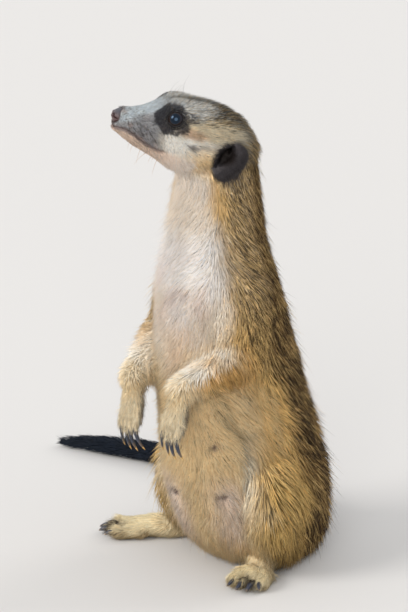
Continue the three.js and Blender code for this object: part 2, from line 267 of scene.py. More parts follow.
class Paw:
    """A hand's or a foot's digits, from its claws: roots, tips, and the way ahead from wrist or heel."""

    def __init__(self, kind, side):
        self.facts = PAWS[kind]
        name = f"{kind}_{side}"
        self.middle = middle_of(name)
        self.claws = [f"{kind}_claw_{side}_{i}" for i in DIGITS]
        self.roots = np.array([end_of(claw, near=self.middle, share=0.2) for claw in self.claws])
        self.tips = np.array([end_of(claw, far=self.middle, share=0.08) for claw in self.claws])
        for places in (self.roots, self.tips):
            places += (places - places.mean(axis=0)) * (self.facts["spread"] - 1)
        self.heel = end_of(name, far=self.roots.mean(axis=0), share=0.1)
        self.ahead = unit(self.roots.mean(axis=0) - self.heel)

    def gaps(self):
        """Between each two digits: where the groove starts, and the direction across it."""
        for left, right in zip(self.roots[:-1], self.roots[1:]):
            yield (left + right) / 2 + self.ahead * GROOVE_AHEAD, unit(right - left)


head = head_frame()
ears = {side: ear_frame(side) for side in SIDES}
paws = {(kind, side): Paw(kind, side) for kind in PAWS for side in SIDES}
hands = [paws["hand", side] for side in SIDES]


def gaze_of(side):
    return unit(mirrored(GAZE, side))


def eye_centre(side):
    return mirrored(np.array(EYE_AT) - EYE_SINK * unit(np.array(GAZE)), side)


def eye_closeness(points, reach=(6.5, 9.0)):
    """1 on an eye, 0 away from both."""
    local = head.local(points)
    return fall(np.min([norms(local - eye_centre(side)) for side in SIDES], axis=0), *reach)


def ear_closeness(points, reach=(11.5, 15.0)):
    """1 on an ear, 0 away from both."""
    local = head.local(points)
    return fall(np.min([norms(ear.local(local)) for ear in ears.values()], axis=0), *reach)


def line_distance(flat, line):
    """How far flat points lie from a line, and how far along it they are, from 0 to 1."""
    gaps = norms(flat[:, None, :] - line[None, :, :])
    nearest = gaps.argmin(axis=1)
    away = gaps[np.arange(len(flat)), nearest]
    for first in (-1, 0):
        start = np.clip(nearest + first, 0, len(line) - 2)
        a, b = line[start], line[start + 1]
        t = np.clip(((flat - a) * (b - a)).sum(axis=1) / ((b - a) ** 2).sum(axis=1), 0, 1)
        away = np.minimum(away, norms(flat - a - (b - a) * t[:, None]))
    return away, nearest / (len(line) - 1)


def mouth_distance(local):
    """The same from the line of the mouth, in the head's coordinates."""
    return line_distance(local[:, 1:3], curve_through(MOUTH, 6))


def near_digits(points):
    """1 on the digits, 0 elsewhere."""
    found = np.zeros(len(points))
    for paw in paws.values():
        long = paw.facts["length"]
        centre = paw.roots.mean(axis=0) - paw.ahead * long * 0.35
        spread = norms(paw.roots[0] - paw.roots[-1]) / 2
        found[norms(points - centre) < spread + long * 0.42] = 1
    return found


def within_head(points):
    """1 on the head, 0 elsewhere."""
    local = head.local(points)
    return ramp(local[:, 1], 2, 6) * ramp(local[:, 2], -30, -24)


def within_paws(points):
    """1 in the boxes of the hands and feet, 0 elsewhere."""
    found = np.zeros(len(points))
    for kind, side in paws:
        low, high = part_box(f"{kind}_{side}")
        low, high = np.array(low) / MM - 2, np.array(high) / MM + 2
        found[((points > low) & (points < high)).all(axis=1)] = 1
    return found


# ---- Meshes ----

def added(name, data):
    """A new object of the scene."""
    made = bpy.data.objects.new(name, data)
    bpy.context.scene.collection.objects.link(made)
    return made


def add_piece(mesh, name, look, replaced=()):
    """Makes a piece in metres from a mesh in millimetres, riding on the root."""
    mesh.name = name
    mesh.transform(Matrix.Scale(MM, 4))
    mesh.update()
    mesh.materials.append(look)
    piece = added(name, mesh)
    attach(piece, "root")
    if replaced:
        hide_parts(*replaced)


def evaluated(holder, kind, **settings):
    """The mesh of an object under a modifier, in place of the object."""
    modifier = holder.modifiers.new("shape", kind)
    for key, value in settings.items():
        setattr(modifier, key, value)
    graph = bpy.context.evaluated_depsgraph_get()
    result = bpy.data.meshes.new_from_object(holder.evaluated_get(graph))
    before = holder.data
    bpy.data.objects.remove(holder)
    bpy.data.meshes.remove(before)
    return result


def filled_mesh(name, points, triangles):
    mesh = bpy.data.meshes.new(name)
    mesh.vertices.add(len(points))
    mesh.vertices.foreach_set("co", np.asarray(points, np.float32).ravel())
    mesh.loops.add(len(triangles) * 3)
    mesh.loops.foreach_set("vertex_index", np.asarray(triangles, np.int32).ravel())
    mesh.polygons.add(len(triangles))
    mesh.polygons.foreach_set("loop_start", np.arange(0, len(triangles) * 3, 3, dtype=np.int32))
    mesh.polygons.foreach_set("use_smooth", np.ones(len(triangles), bool))
    mesh.update(calc_edges=True)
    return mesh


def save_values(mesh, name, values):
    """Stores a value for each vertex as an attribute, which a later split of the mesh carries along."""
    layer = mesh.attributes.get(name) or mesh.attributes.new(name, "FLOAT", "POINT")
    layer.data.foreach_set("value", values.astype(np.float32))


def saved_values(mesh, name):
    """The values of an attribute, which is taken off the mesh."""
    values = column(mesh.attributes[name].data, "value")
    mesh.attributes.remove(mesh.attributes[name])
    return values


def save_colour(mesh, colours):
    layer = mesh.color_attributes.new("coat", "FLOAT_COLOR", "POINT")
    rows = np.concatenate([colours, np.ones((len(colours), 1))], axis=1)
    layer.data.foreach_set("color", rows.astype(np.float32).ravel())


def joined(shapes):
    """Several shapes as one, each of them (points, triangles)."""
    starts = np.cumsum([0, *(len(points) for points, _ in shapes)])
    triangles = [faces + start for (_, faces), start in zip(shapes, starts)]
    return np.concatenate([points for points, _ in shapes]), np.concatenate(triangles)


def ball(rounds):
    """A unit sphere of even triangles: (points, triangles)."""
    bm = bmesh.new()
    bmesh.ops.create_icosphere(bm, subdivisions=rounds, radius=1)
    points = np.array([v.co for v in bm.verts])
    triangles = np.array([[v.index for v in f.verts] for f in bm.faces])
    bm.free()
    return points, triangles


def curve_through(stations, steps):
    """A smooth curve through rows of values, `steps` to each stretch (Catmull-Rom)."""
    rows = np.asarray(stations, float)
    padded = np.vstack([2 * rows[0] - rows[1], rows, 2 * rows[-1] - rows[-2]])
    out = []
    for i in range(len(rows) - 1):
        a, b, c, d = padded[i : i + 4]
        for t in np.arange(steps) / steps:
            out.append(0.5 * (2 * b + (c - a) * t + (2 * a - 5 * b + 4 * c - d) * t**2
                              + (3 * b - a - 3 * c + d) * t**3))
    return np.array([*out, rows[-1]])


def tube(path, radii, sides, flat=1.0, across=UP):
    """A closed tube along a path, with round ends: (points, triangles)."""
    along = unit(np.gradient(path, axis=0))
    left = unit(np.cross(across, along) + 1e-9)
    over = np.cross(along, left)
    turns = np.arange(sides) * 2 * math.pi / sides
    rings = [p + r * (np.outer(np.cos(turns), a) + np.outer(np.sin(turns), b) * flat)
             for p, r, a, b in zip(path, radii, left, over)]
    first = path[0] - along[0] * radii[0] * 0.8
    last = path[-1] + along[-1] * radii[-1] * 0.8
    near = np.arange(sides)
    beside = (near + 1) % sides
    starts = np.arange(len(path) - 1)[:, None] * sides
    a, b = starts + near, starts + beside
    end = (len(path) - 1) * sides
    middle = np.full(sides, len(path) * sides)
    faces = [
        np.stack([a, b, b + sides], axis=-1).reshape(-1, 3),
        np.stack([a, b + sides, a + sides], axis=-1).reshape(-1, 3),
        np.stack([beside, near, middle], axis=1),
        np.stack([near + end, beside + end, middle + 1], axis=1),
    ]
    return np.vstack([*rings, first, last]), np.concatenate(faces)


class Surface:
    """A mesh's points in millimetres, its triangles, and the links that smoothing follows."""

    def __init__(self, mesh):
        self.mesh = mesh
        self.points = column(mesh.vertices, "co", 3)
        edges = column(mesh.edges, "vertices", 2, np.int32)
        heads, tails = np.concatenate([edges, edges[:, ::-1]]).T.copy()
        self.links = heads, tails, np.maximum(np.bincount(heads, minlength=len(self.points)), 1)
        mesh.calc_loop_triangles()
        self.triangles = column(mesh.loop_triangles, "vertices", 3, np.int32)

    def normals(self):
        a, b, c = (self.points[corner] for corner in self.triangles.T)
        sums = [sum(np.bincount(corner, facing, minlength=len(self.points)) for corner in self.triangles.T)
                for facing in np.cross(b - a, c - a).T]
        return unit(np.stack(sums, axis=1))

    def save(self):
        self.mesh.vertices.foreach_set("co", self.points.astype(np.float32).ravel())
        self.mesh.update()
        return self.mesh


def averaged(values, links):
    """The mean of each vertex's neighbours, for plain values or rows of three."""
    heads, tails, counts = links
    if values.ndim == 1:
        return np.bincount(heads, values[tails], minlength=len(counts)) / counts
    return np.stack([averaged(row, links) for row in values.T], axis=1)


def calmed(values, links, rounds, share=0.5):
    """Values smoothed over the surface. share is one value, or one for each vertex."""
    if np.ndim(share) and values.ndim > 1:
        share = share[:, None]
    for _ in range(rounds):
        values = values + (averaged(values, links) - values) * share
    return values


def thinned(mesh, keep):
    """The mesh with fewer triangles, except where `keep` is 1."""
    holder = added("holder", mesh)
    holder.vertex_groups.new(name="thin").add(np.flatnonzero(keep < 0.5).tolist(), 1.0, "ADD")
    fine = np.count_nonzero(keep >= 0.5) / len(keep)
    return evaluated(holder, "DECIMATE", vertex_group="thin", ratio=fine + (1 - fine) * TRUNK_SHARE)


def subdivided(mesh, mask):
    """The mesh with every face split whose corners all have a mask over a half."""
    bm = bmesh.new()
    bm.from_mesh(mesh)
    bm.verts.ensure_lookup_table()
    chosen = {e for f in bm.faces if all(mask[v.index] > 0.5 for v in f.verts) for e in f.edges}
    bmesh.ops.subdivide_edges(bm, edges=list(chosen), cuts=1, use_grid_fill=True)
    bmesh.ops.triangulate(bm, faces=[f for f in bm.faces if len(f.verts) > 4])
    bm.to_mesh(mesh)
    bm.free()
    return mesh


# ---- Joining the flesh into one skin ----

def nodes_of(part):
    """A part's nodes: one, a left and a right, or a row of three."""
    names = [part + end for end in ("", "_left", "_right", "_1", "_2", "_3")]
    return [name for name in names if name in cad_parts]


FLESH = sorted(name for part in PARTS for name in nodes_of(part))


def add_node(bm, name):
    """Adds a node's solid to bm, in millimetres, swollen by WELD."""
    part = bmesh.new()
    part.from_mesh(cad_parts[name].data)
    bmesh.ops.scale(part, vec=(1 / MM,) * 3, verts=part.verts)
    bmesh.ops.remove_doubles(part, verts=part.verts, dist=0.01)
    part.normal_update()
    for v in part.verts:
        v.co += v.normal * WELD
    swollen = bpy.data.meshes.new("swollen")
    part.to_mesh(swollen)
    part.free()
    bm.from_mesh(swollen)
    bpy.data.meshes.remove(swollen)


def add_shape(bm, points, triangles):
    mesh = filled_mesh("shape", points, triangles)
    bm.from_mesh(mesh)
    bpy.data.meshes.remove(mesh)


def add_ear(bm, side):
    """An ear's thick rim and the bowl inside it, which merge with the side of the head."""
    ear = ears[side]
    rim = curve_through(EAR_RIM, 6)
    path = head.outer(ear.outer(rim[:, :3]))
    add_shape(bm, *tube(path, rim[:, 3], 12, across=head.turned(ear.axes[2])))
    points, triangles = ball(4)
    bowl = head.outer(ear.outer(points * EAR_BOWL["size"] + EAR_BOWL["at"]))
    add_shape(bm, bowl, triangles[:, ::-1] if side == "left" else triangles)


def joined_flesh():
    """The outer surface of the flesh and the ears, as one mesh of even quads."""
    bm = bmesh.new()
    for name in FLESH:
        add_node(bm, name)
    for side in SIDES:
        add_ear(bm, side)
    mesh = bpy.data.meshes.new("flesh")
    bm.to_mesh(mesh)
    bm.free()
    return evaluated(added("holder", mesh), "REMESH", mode="VOXEL", voxel_size=VOXEL, adaptivity=0)


def distance_to(part, points):
    """How far points lie from the faces of a part's nodes."""
    corners, faces = [], []
    for name in nodes_of(part):
        start = len(corners)
        corners += points_of(name).tolist()
        faces += [[start + i for i in face.vertices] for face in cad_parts[name].data.polygons]
    find = BVHTree.FromPolygons(corners, faces).find_nearest
    return np.array([find(p)[3] for p in points.tolist()])


def part_shares(points):
    """How much of each part a point belongs to, as shares that add up to 1."""
    shares = {part: bell(distance_to(part, points), BLEND) + 1e-9 for part in PARTS}
    total = sum(shares.values())
    return {part: share / total for part, share in shares.items()}


def by_part(shares, key):
    """A value of PARTS, blended from part to part."""
    return sum(share * PARTS[part][key] for part, share in shares.items())


# ---- Sculpting ----

def plain_skin():
    """The joined, thinned and smoothed flesh, sunk below the coat. Its parts' shares are saved on it."""
    mesh = joined_flesh()
    points = Surface(mesh).points
    fine = [within_head(points), within_paws(points), ear_closeness(points)]
    surface = Surface(thinned(mesh, np.maximum.reduce(fine)))
    rough = surface.points
    shares = part_shares(rough)
    on_ear = ear_closeness(rough)
    muzzle = ramp(head.local(rough)[:, 1], 48, 66) * shares["head"]
    calm = by_part(shares, "calm") * (1 - 0.85 * on_ear) * (1 - 0.7 * muzzle)
    surface.points = calmed(rough, surface.links, CALM, calm * 0.5)
    lost = ((rough - surface.points) * surface.normals()).sum(axis=1)
    regained = sum(shares[part] for part in ("head", "neck", "chest", "abdomen", "foot"))
    regained = calmed(lost, surface.links, CALM) * (regained * (1 - on_ear) * (1 - muzzle))
    surface.points += surface.normals() * regained[:, None]
    snout = ramp(head.local(surface.points)[:, 1], 40, 60)
    depth = mixed(by_part(shares, "depth"), SNOUT_DEPTH, snout * shares["head"])
    depth = calmed(mixed(depth, EAR_DEPTH, on_ear), surface.links, DEPTH_CALM)
    surface.points -= unit(calmed(surface.normals(), surface.links, 4)) * (depth + WELD)[:, None]
    surface.save()
    for name, values in {"depth": depth, **shares}.items():
        save_values(surface.mesh, name, values)
    return surface


def sculpt_swellings(local, normals):
    """Lifts the head's soft swellings, alike on both sides."""
    folded = np.where([True, False, False], np.abs(local), local)
    height = sum(tall * fall(norms(folded - np.array(at)), 0, reach) for at, reach, tall in SWELLINGS)
    return local + normals * height[:, None]


def sculpt_mouth(local, normals):
    """The groove of the mouth, with soft lips above and below it."""
    away, share = mouth_distance(local)
    fade = fall(share, 0.9, 1.0) * (local[:, 1] > MOUTH_BACK)
    groove = bell(away, 0.6) * fade
    lips = bell(away - 1.5, 0.9) * 0.30 * fade
    return local + normals * (lips - groove)[:, None]


def sculpt_ear(local, side):
    """Sinks the hollow of an ear, with one fold standing in it."""
    place = ears[side].local(local)
    lean = math.radians(EAR_HOLLOW["lean"])
    flat = place[:, :2] - EAR_HOLLOW["at"]
    long = flat @ np.array([math.sin(lean), math.cos(lean)])
    wide = flat @ np.array([math.cos(lean), -math.sin(lean)])
    share = np.hypot(long / EAR_HOLLOW["long"], wide / EAR_HOLLOW["wide"])
    near = (place[:, 2] > -9) & (place[:, 2] < 6)
    sunk = fall(share, 0.55, 1.1) * EAR_HOLLOW["deep"] * near
    sunk -= fall(norms(place[:, :2] - EAR_FOLD["at"]), 0.3, EAR_FOLD["reach"]) * EAR_FOLD["high"] * near
    return local - ears[side].axes[2] * sunk[:, None]


def sculpt_eye(local, side):
    """Wraps the lids round an eyeball, and sinks what lies in the opening inside it. Head coordinates."""
    gaze = gaze_of(side)
    slit = mirrored(EYE_SLIT, side)
    slit = unit(slit - gaze * (slit @ gaze))
    over = np.cross(gaze, slit)
    over = over if over[2] > 0 else -over
    offset = local - eye_centre(side)
    ring = np.hypot(offset @ slit, offset @ over)
    along_slit, across = (offset @ way / np.maximum(ring, 1e-6) for way in (slit, over))
    radial = np.outer(along_slit, slit) + np.outer(across, over)
    turn = np.minimum(ring / LID_EDGE, 1) * LID_TURN
    x, y = turn * along_slit, turn * across
    pinch = 1 - 0.45 * ramp(x, 5, EYE_OPEN[0])  # the inner corner is a point
    share = np.hypot(x / (EYE_OPEN[0] + 7 * ramp(x, 0, 30)), y / (EYE_OPEN[1] * pinch))
    lids = EYE_RADIUS + LID * (1 + 0.5 * bump(share, 1.12, 0.2))
    size = mixed(np.full(len(local), EYE_RADIUS - OPENING_SINK), lids, ramp(share, 0.94, 1.03))
    rise = offset @ gaze
    edge = (EYE_RADIUS + LID) * math.cos(math.radians(LID_TURN))
    skirt = mixed(edge - LID_SLOPE * (ring - LID_EDGE), rise, ramp(ring, LID_EDGE, SOCKET))
    height = np.where(ring < LID_EDGE, size * np.cos(np.radians(turn)), np.maximum(skirt, rise))
    width = np.where(ring < LID_EDGE, size * np.sin(np.radians(turn)), ring)
    near = (rise > -8) & (ring < SOCKET)
    wrapped = eye_centre(side) + gaze * height[:, None] + radial * width[:, None]
    return np.where(near[:, None], wrapped, local)


def sculpt_digits(points, normals):
    """Grooves between the fingers and between the toes, deepest at their tips."""
    for paw in paws.values():
        long, (deep, wide), (swell, reach) = (paw.facts[key] for key in ("length", "groove", "swelling"))
        for start, across in paw.gaps():
            back = unit(paw.heel - start)
            along = (points - start) @ back
            offset = points - start - np.clip(along, -GROOVE_AHEAD, long)[:, None] * back
            fade = fall(along, 0.35 * long, long) * fall(norms(offset), 5, 8)
            points = points - normals * (deep * bell(offset @ across, wide) * fade)[:, None]
        for root in paw.roots:
            points = points + normals * (swell * fall(norms(points - root + paw.ahead), 0, reach))[:, None]
    return points


def shortened_palms(points):
    """The palms drawn back, so that the fingers stand clear of them."""
    for paw in hands:
        along = (points - paw.roots.mean(axis=0)) @ paw.ahead
        near = norms(points - paw.middle) < PALM_REACH
        over = np.where(near, np.maximum(along - PALM_END, 0), 0)
        points = points - np.outer(over * PALM_DRAW, paw.ahead)
    return points


def finger(root, ahead):
    """A closed tube that starts inside the palm."""
    stations = curve_through([(*(root + ahead * x), half) for x, half in FINGER], 3)
    return tube(stations[:, :3], stations[:, 3], 12)


def with_fingers(surface):
    """The surface with the fingers on its hands."""
    fingers = [finger(root, paw.ahead) for paw in hands for root in paw.roots]
    points, triangles = joined([(surface.points, surface.triangles), *fingers])
    mesh = filled_mesh("skin", points, triangles)
    for name in ("depth", *PARTS):
        fill = {"depth": SNOUT_DEPTH, "hand": 1.0}.get(name, 0.0)
        new = np.full(len(points) - len(surface.points), fill)
        save_values(mesh, name, np.append(saved_values(surface.mesh, name), new))
    return Surface(mesh)


def sculpted_skin():
    """The skin with its lids, ears, mouth and digits."""
    surface = plain_skin()
    local = head.local(surface.points)
    lips = (local[:, 1] > 44) & (local[:, 2] > -16) & (mouth_distance(local)[0] < 2.4)
    fine = [eye_closeness(surface.points), lips, ear_closeness(surface.points, (11, 13)),
            near_digits(surface.points)]
    surface = Surface(subdivided(surface.mesh, np.maximum.reduce(fine)))
    surface = Surface(subdivided(surface.mesh, eye_closeness(surface.points, (5.5, 7.5))))
    places = np.maximum(eye_closeness(surface.points), ear_closeness(surface.points))
    surface.points = calmed(surface.points, surface.links, 3, places * 0.5)
    normals = surface.normals()
    turned = normals @ head.axes.T
    local = head.local(surface.points)
    on_head = (local[:, 1] > 2) & (local[:, 2] > -28)
    shaped = sculpt_mouth(sculpt_swellings(local, turned), turned)
    for side in SIDES:
        shaped = sculpt_eye(sculpt_ear(shaped, side), side)
    shaped = head.outer(np.where(on_head[:, None], shaped, local))
    surface.points = shortened_palms(sculpt_digits(shaped, normals))
    surface.points[:, 2] = np.maximum(surface.points[:, 2], FLOOR_CLEAR)
    return with_fingers(surface)


# ---- Eyes, nose and claws ----

def eyeball(side):
    """An eyeball whose clear front swells a little beyond the round."""
    points, triangles = ball(5)
    sight = points @ gaze_of(side)
    local = points * ((1 + 0.06 * ramp(sight, 0.70, 0.95)) * EYE_RADIUS)[:, None] + eye_centre(side)
    mesh = filled_mesh("eye", head.outer(local), triangles)
    save_values(mesh, "sight", sight)
    return mesh


NOSE_SIZE = (4.1, 3.2, 3.9)  # half width, half length and half height
NOSE_BACK = 1.7  # how far behind its node the pad lies, in the muzzle's end
NOSTRIL_DEPTH = 1.7


def nose_pad():
    """The bare pad of the nose, with comma-shaped nostrils and a groove down its middle."""
    points, triangles = ball(6)
    x, y, z = points.T
    local = points * NOSE_SIZE
    local[:, 0] *= 1 - 0.22 * ramp(-z, 0.1, 1.0)  # narrower below
    local[:, 1] *= 1 + 0.5 * ramp(-y, 0, 1)  # its root goes back into the muzzle
    local[:, 1] -= 0.5 * ramp(z, 0.2, 1.0) * ramp(y, -0.2, 0.6)  # the top leans back
    groove = bell(x, 0.10) * ramp(y, 0.1, 0.6) * fall(z, 0.35, 0.7) * 0.55
    beside = np.abs(x)
    pit = np.hypot((beside - 0.42) / 0.24, (z - 0.05) / 0.26)
    slit = np.hypot((beside - 0.74) / 0.30, (z + 0.12 + 0.25 * (beside - 0.6)) / 0.13)
    hole = np.maximum(fall(pit, 0.5, 1.1), 0.8 * fall(slit, 0.5, 1.15)) * ramp(y, -0.1, 0.35) * NOSTRIL_DEPTH
    wing = bell(pit - 1.35, 0.3) * ramp(y, 0.0, 0.5) * 0.28
    local -= points * (groove + hole - wing)[:, None]
    local += head.local(middle_of("nose")) - [0, NOSE_BACK, 0]
    mesh = filled_mesh("nose", head.outer(local), triangles)
    # A painted shade, near black, in the nostrils.
    save_values(mesh, "hollow_shade", np.clip(hole / NOSTRIL_DEPTH, 0, 1))
    # Where a bluish reflection is painted on the pad's top.
    save_values(mesh, "painted_reflection", ramp(z, -0.1, 0.8))
    return mesh


def claw_tube(paw, index, share):
    """A claw that bends from root to tip, deeper than wide. share runs along it from 0 to 1."""
    facts = paw.facts
    root = paw.roots[index] - [0, 0, facts["claw_sink"]]
    middle = paw.tips.mean(axis=0)
    tip = middle + (paw.tips[index] - middle) * facts["claw_spread"]
    tip += (root - tip) * facts["claw_worn"]
    tip[2] = max(tip[2], CLAW_LOW)
    reach = (tip - root) @ paw.ahead
    drop = tip - root - paw.ahead * reach
    bend = root + paw.ahead * reach * share[1:, None] + drop * share[1:, None] ** 2.1
    path = np.vstack([root - paw.ahead * facts["claw_root"], bend])
    half = facts["claw_breadth"] * (1 - share**1.7) ** 0.75 * (0.92 + 0.08 * bump(share, 0.25, 0.3)) + 0.08
    return tube(path, half, CLAW_SIDES, flat=CLAW_DEPTH, across=drop)


def claws_of(paw):
    """All the claws of a paw as one mesh, with a value that runs from root to tip."""
    share = np.append(0, np.linspace(0, 1, CLAW_RINGS))
    mesh = filled_mesh("claws", *joined([claw_tube(paw, i, share) for i in range(len(DIGITS))]))
    along = np.append(np.repeat(share, CLAW_SIDES), [0, 1]) * paw.facts["claw_ochre"]
    save_values(mesh, "along", np.tile(along, len(DIGITS)))
    return mesh


# ---- Colour ----

# Where the pale front ends, in degrees from straight ahead, at heights up the trunk.
FRONT_EDGE = (
    (20, 40, 72, 97, 104, 113, 130, 170, 188, 200, 215),
    (80, 86, 88, 87, 79, 62, 57, 58, 54, 48, 44),
)
TEATS = ((17, 93), (19, 72), (17, 44))  # pairs of them: half the angle between the two, and the height
TEAT_TONE = (104, 84, 82)
MIDLINE = 12  # degrees that the belly's own middle is turned to the left
# The crease between the breast and the smooth apron below it, along which a shade is painted: (degrees round
# the trunk, height).
CREASE = [(-13, 130), (-11, 141), (0, 147.2), (9, 148.8), (19, 149.2), (27, 147.6), (31, 142), (31, 131)]
CHEST_ROUND = 32  # how far the breast lies from the trunk's middle line
BELLY_ROUND = 36  # and the belly
BARS = dict(low=22, high=150, spacing=8.4, start=94, tone=(24, 17, 11))  # the dark bars across the back
# The black patch round the eye, as ellipses at (ahead, up): rounded, and drawn out ahead and down.
EYE_PATCH = [((48.6, 8.8), (7.2, 6.3)), ((53.0, 6.8), (4.6, 4.6)), ((50.4, 4.4), (4.2, 3.4))]
EYE_POINT = ((41.5, 11.2), (5.6, 2.3))  # the fainter point behind it
BROW = ((42.0, 16.5), (12.0, 5.4), 0.8)  # the pale patch over the eye: middle, reach and softness
ELBOW_SHADE = (0.0, 0.0, -6.0)  # from each elbow to the painted shade under it


def rgb(red, green, blue):
    """A screen colour, 0 to 255, as linear light."""
    c = np.array([red, green, blue]) / 255
    return np.where(c <= 0.04045, c / 12.92, ((c + 0.055) / 1.055) ** 2.4)


PATCH_TONE = rgb(48, 47, 53)


def painted(base, *layers):
    """Colours with layers laid over them in turn, each (colour, share). A tuple is a screen colour."""
    colour = rgb(*base) if isinstance(base, tuple) else base
    for tone, share in layers:
        colour = mixed(colour, rgb(*tone) if isinstance(tone, tuple) else tone, share[:, None])
    return colour


def noise(points, size, seed):
    """Smooth random values from -1 to 1, with blobs about `size` across."""
    table = np.random.default_rng(seed).uniform(-1, 1, 4096)
    cell = np.floor(points / size).astype(np.int64)
    part = points / size - cell
    part = part * part * (3 - 2 * part)
    total = np.zeros(len(points))
    for corner in itertools.product((0, 1), repeat=3):
        x, y, z = (cell + corner).T
        key = (x * 73856093) ^ (y * 19349663) ^ (z * 83492791)
        total += table[key % 4096] * np.prod(np.where(corner, part, 1 - part), axis=1)
    return total


def round_trunk(points):
    """Degrees round the trunk's middle line from straight ahead, positive on the animal's left."""
    flesh = np.concatenate([points_of(n) for n in ("abdomen", "chest", "neck")])
    heights = np.arange(6.0, 210.0, 12.0)
    slices = [flesh[np.abs(flesh[:, 2] - z) < 9, 1] for z in heights]
    middles = np.array([(y.min() + y.max()) / 2 for y in slices])
    y = points[:, 1] - np.interp(points[:, 2], heights, middles)
    return np.degrees(np.arctan2(points[:, 0], -y))


class Places:
    """What the colours, the lie and the length of the coat are worked out from, for each vertex of skin."""

    def __init__(self, surface):
        self.points = surface.points
        self.links = surface.links
        self.normals = surface.normals()
        self.shares = {part: saved_values(surface.mesh, part) for part in PARTS}
        self.depth = saved_values(surface.mesh, "depth")
        self.height = self.points[:, 2]
        self.local = head.local(self.points)
        self.side, self.ahead, self.up = self.local.T
        self.beside = np.abs(self.side)
        self.turn = round_trunk(self.points)
        self.round = np.abs(self.turn)
        self.edge = np.interp(self.height, *FRONT_EDGE)
        self.ear = ear_closeness(self.points, (9.0, 12.5))
        self.on_head = self.shares["head"] * ramp(self.ahead, 0, 8)
        self.nose = norms(self.local - NOSE_AT)

    def of(self, *parts):
        """How much of some parts each vertex belongs to, from 0 to 1."""
        return sum(self.shares[part] for part in parts)

    def noise(self, size, seed):
        return noise(self.points, size, seed)

    def facing(self, *way):
        """1 where the skin faces a way, -1 where it faces the other way."""
        return self.normals @ unit(np.array(way))

    def spot(self, centre, reach, soft=0.4, rough=0.0):
        """1 inside an ellipse on both sides of the head, as (ahead, up), fading out at its edge."""
        share = np.hypot((self.ahead - centre[0]) / reach[0], (self.up - centre[1]) / reach[1])
        return fall(share + rough, 1 - soft / 2, 1 + soft / 2)

    def near(self, place, low, high, rough=0.0):
        """1 within `low` of a place, fading to 0 at `high`."""
        return fall(norms(self.points - place) + rough, low, high)

    def eye_gap(self):
        """How far each vertex lies outside the edge of the lids."""
        gaps = []
        for side in SIDES:
            offset = self.local - eye_centre(side)
            rise = offset @ gaze_of(side)
            gaps.append(np.where(rise > -4, norms(offset - np.outer(rise, gaze_of(side))) - LID_RIM, 20))
        return np.min(gaps, axis=0)


def crease(at):
    """The painted shade along the chest's crease, and the apron inside it, each from 0 to 1."""
    line = curve_through(CREASE, 4)
    away = line_distance(np.stack([np.radians(at.turn) * CHEST_ROUND, at.height], axis=1),
                         np.stack([np.radians(line[:, 0]) * CHEST_ROUND, line[:, 1]], axis=1))[0]
    crease_shade = bell(away, 1.2) * ramp(at.height, 128, 138)
    apron = bump(at.turn, 9, 26) * ramp(at.height, 96, 112) * fall(at.height, 143, 150)
    return crease_shade * at.of("chest", "neck"), apron * at.of("chest", "neck")


def eye_patch(at):
    """1 on the black patches round the eyes, 0 elsewhere, with a ragged edge."""
    rough = 0.18 * at.noise(2.8, 14) + 0.10 * at.noise(1.3, 15)
    patch = np.maximum.reduce([at.spot(centre, reach, 0.5, rough) for centre, reach in EYE_PATCH])
    patch = np.maximum(patch, 0.62 * at.spot(*EYE_POINT, 0.9, rough))
    return patch * ramp(at.beside, 5.5, 8.0) * fall(at.up, 14.6, 16.4) * np.clip(at.on_head, 0, 1)


def teats(at, reach=(1.7, 3.3)):
    """1 on the teats of the belly, 0 away from them."""
    found = np.zeros(len(at.points))
    for (half, height), sign in itertools.product(TEATS, SIDES.values()):
        away = np.hypot(np.radians(at.turn - MIDLINE - sign * half) * BELLY_ROUND, at.height - height)
        found = np.maximum(found, fall(away, *reach))
    return found * at.of("abdomen", "chest")


def front_colour(at):
    """The pale front of the trunk: cream on the belly, white on the breast, rosy where the fur is thin, with
    a painted shade along the crease.
    """
    z = at.height
    crease_shade, apron = crease(at)
    rosy = bump(z, 148, 34) * fall(at.round, 30, 50) * ramp(at.noise(9, 24), -0.5, 0.5)
    bare = ramp(z, 14, 28) * fall(z, 44, 62) * bump(np.abs(at.turn - MIDLINE), 24, 24)
    return painted(
        (255, 226, 176),
        ((252, 238, 218), ramp(z, 92, 128)),
        ((255, 250, 245), ramp(z, 140, 158)),
        ((255, 242, 226), ramp(z, 172, 186)),
        ((248, 224, 214), rosy * 0.45),
        (painted((252, 226, 198), ((248, 242, 238), ramp(z, 124, 140))), apron * 0.8),
        # a painted shade along the crease
        ((166, 142, 134), crease_shade * 0.6),
        ((250, 230, 216), bare * 0.85),
    )


def body_colour(at):
    """Trunk and neck: dark behind, golden at the sides and pale in front, with a painted shade under the
    arms.
    """
    z, turned = at.height, at.round
    wander = at.noise(14, 3) * 6 + at.noise(5, 4) * 3
    out = turned - at.edge
    crest = bump(turned + wander * 0.4 - at.edge, -3, 7) * ramp(z, 58, 70) * fall(z, 102, 110)
    # A painted shade on the belly just under the arms.
    shade_under_arm = bump(z, 103, 13) * fall(turned, 62, 80) * at.of("abdomen")
    return painted(
        (198, 164, 106),
        ((206, 180, 140), ramp(z, 125, 160)),
        (painted((76, 52, 20), ((94, 68, 34), ramp(z, 120, 190))), ramp(turned + wander, 86, 118)),
        (front_colour(at), fall(turned + wander - at.edge, -9, 9)),
        ((230, 192, 124), bump(out, 1, 20) * ramp(z + wander, 182, 198) * 0.8),
        ((240, 200, 130), bump(out, -2, 28) * fall(z, 100, 125) * ramp(z, 10, 30)),
        ((255, 226, 172), crest * 0.8),
        ((176, 134, 82), shade_under_arm * 0.5),
    )


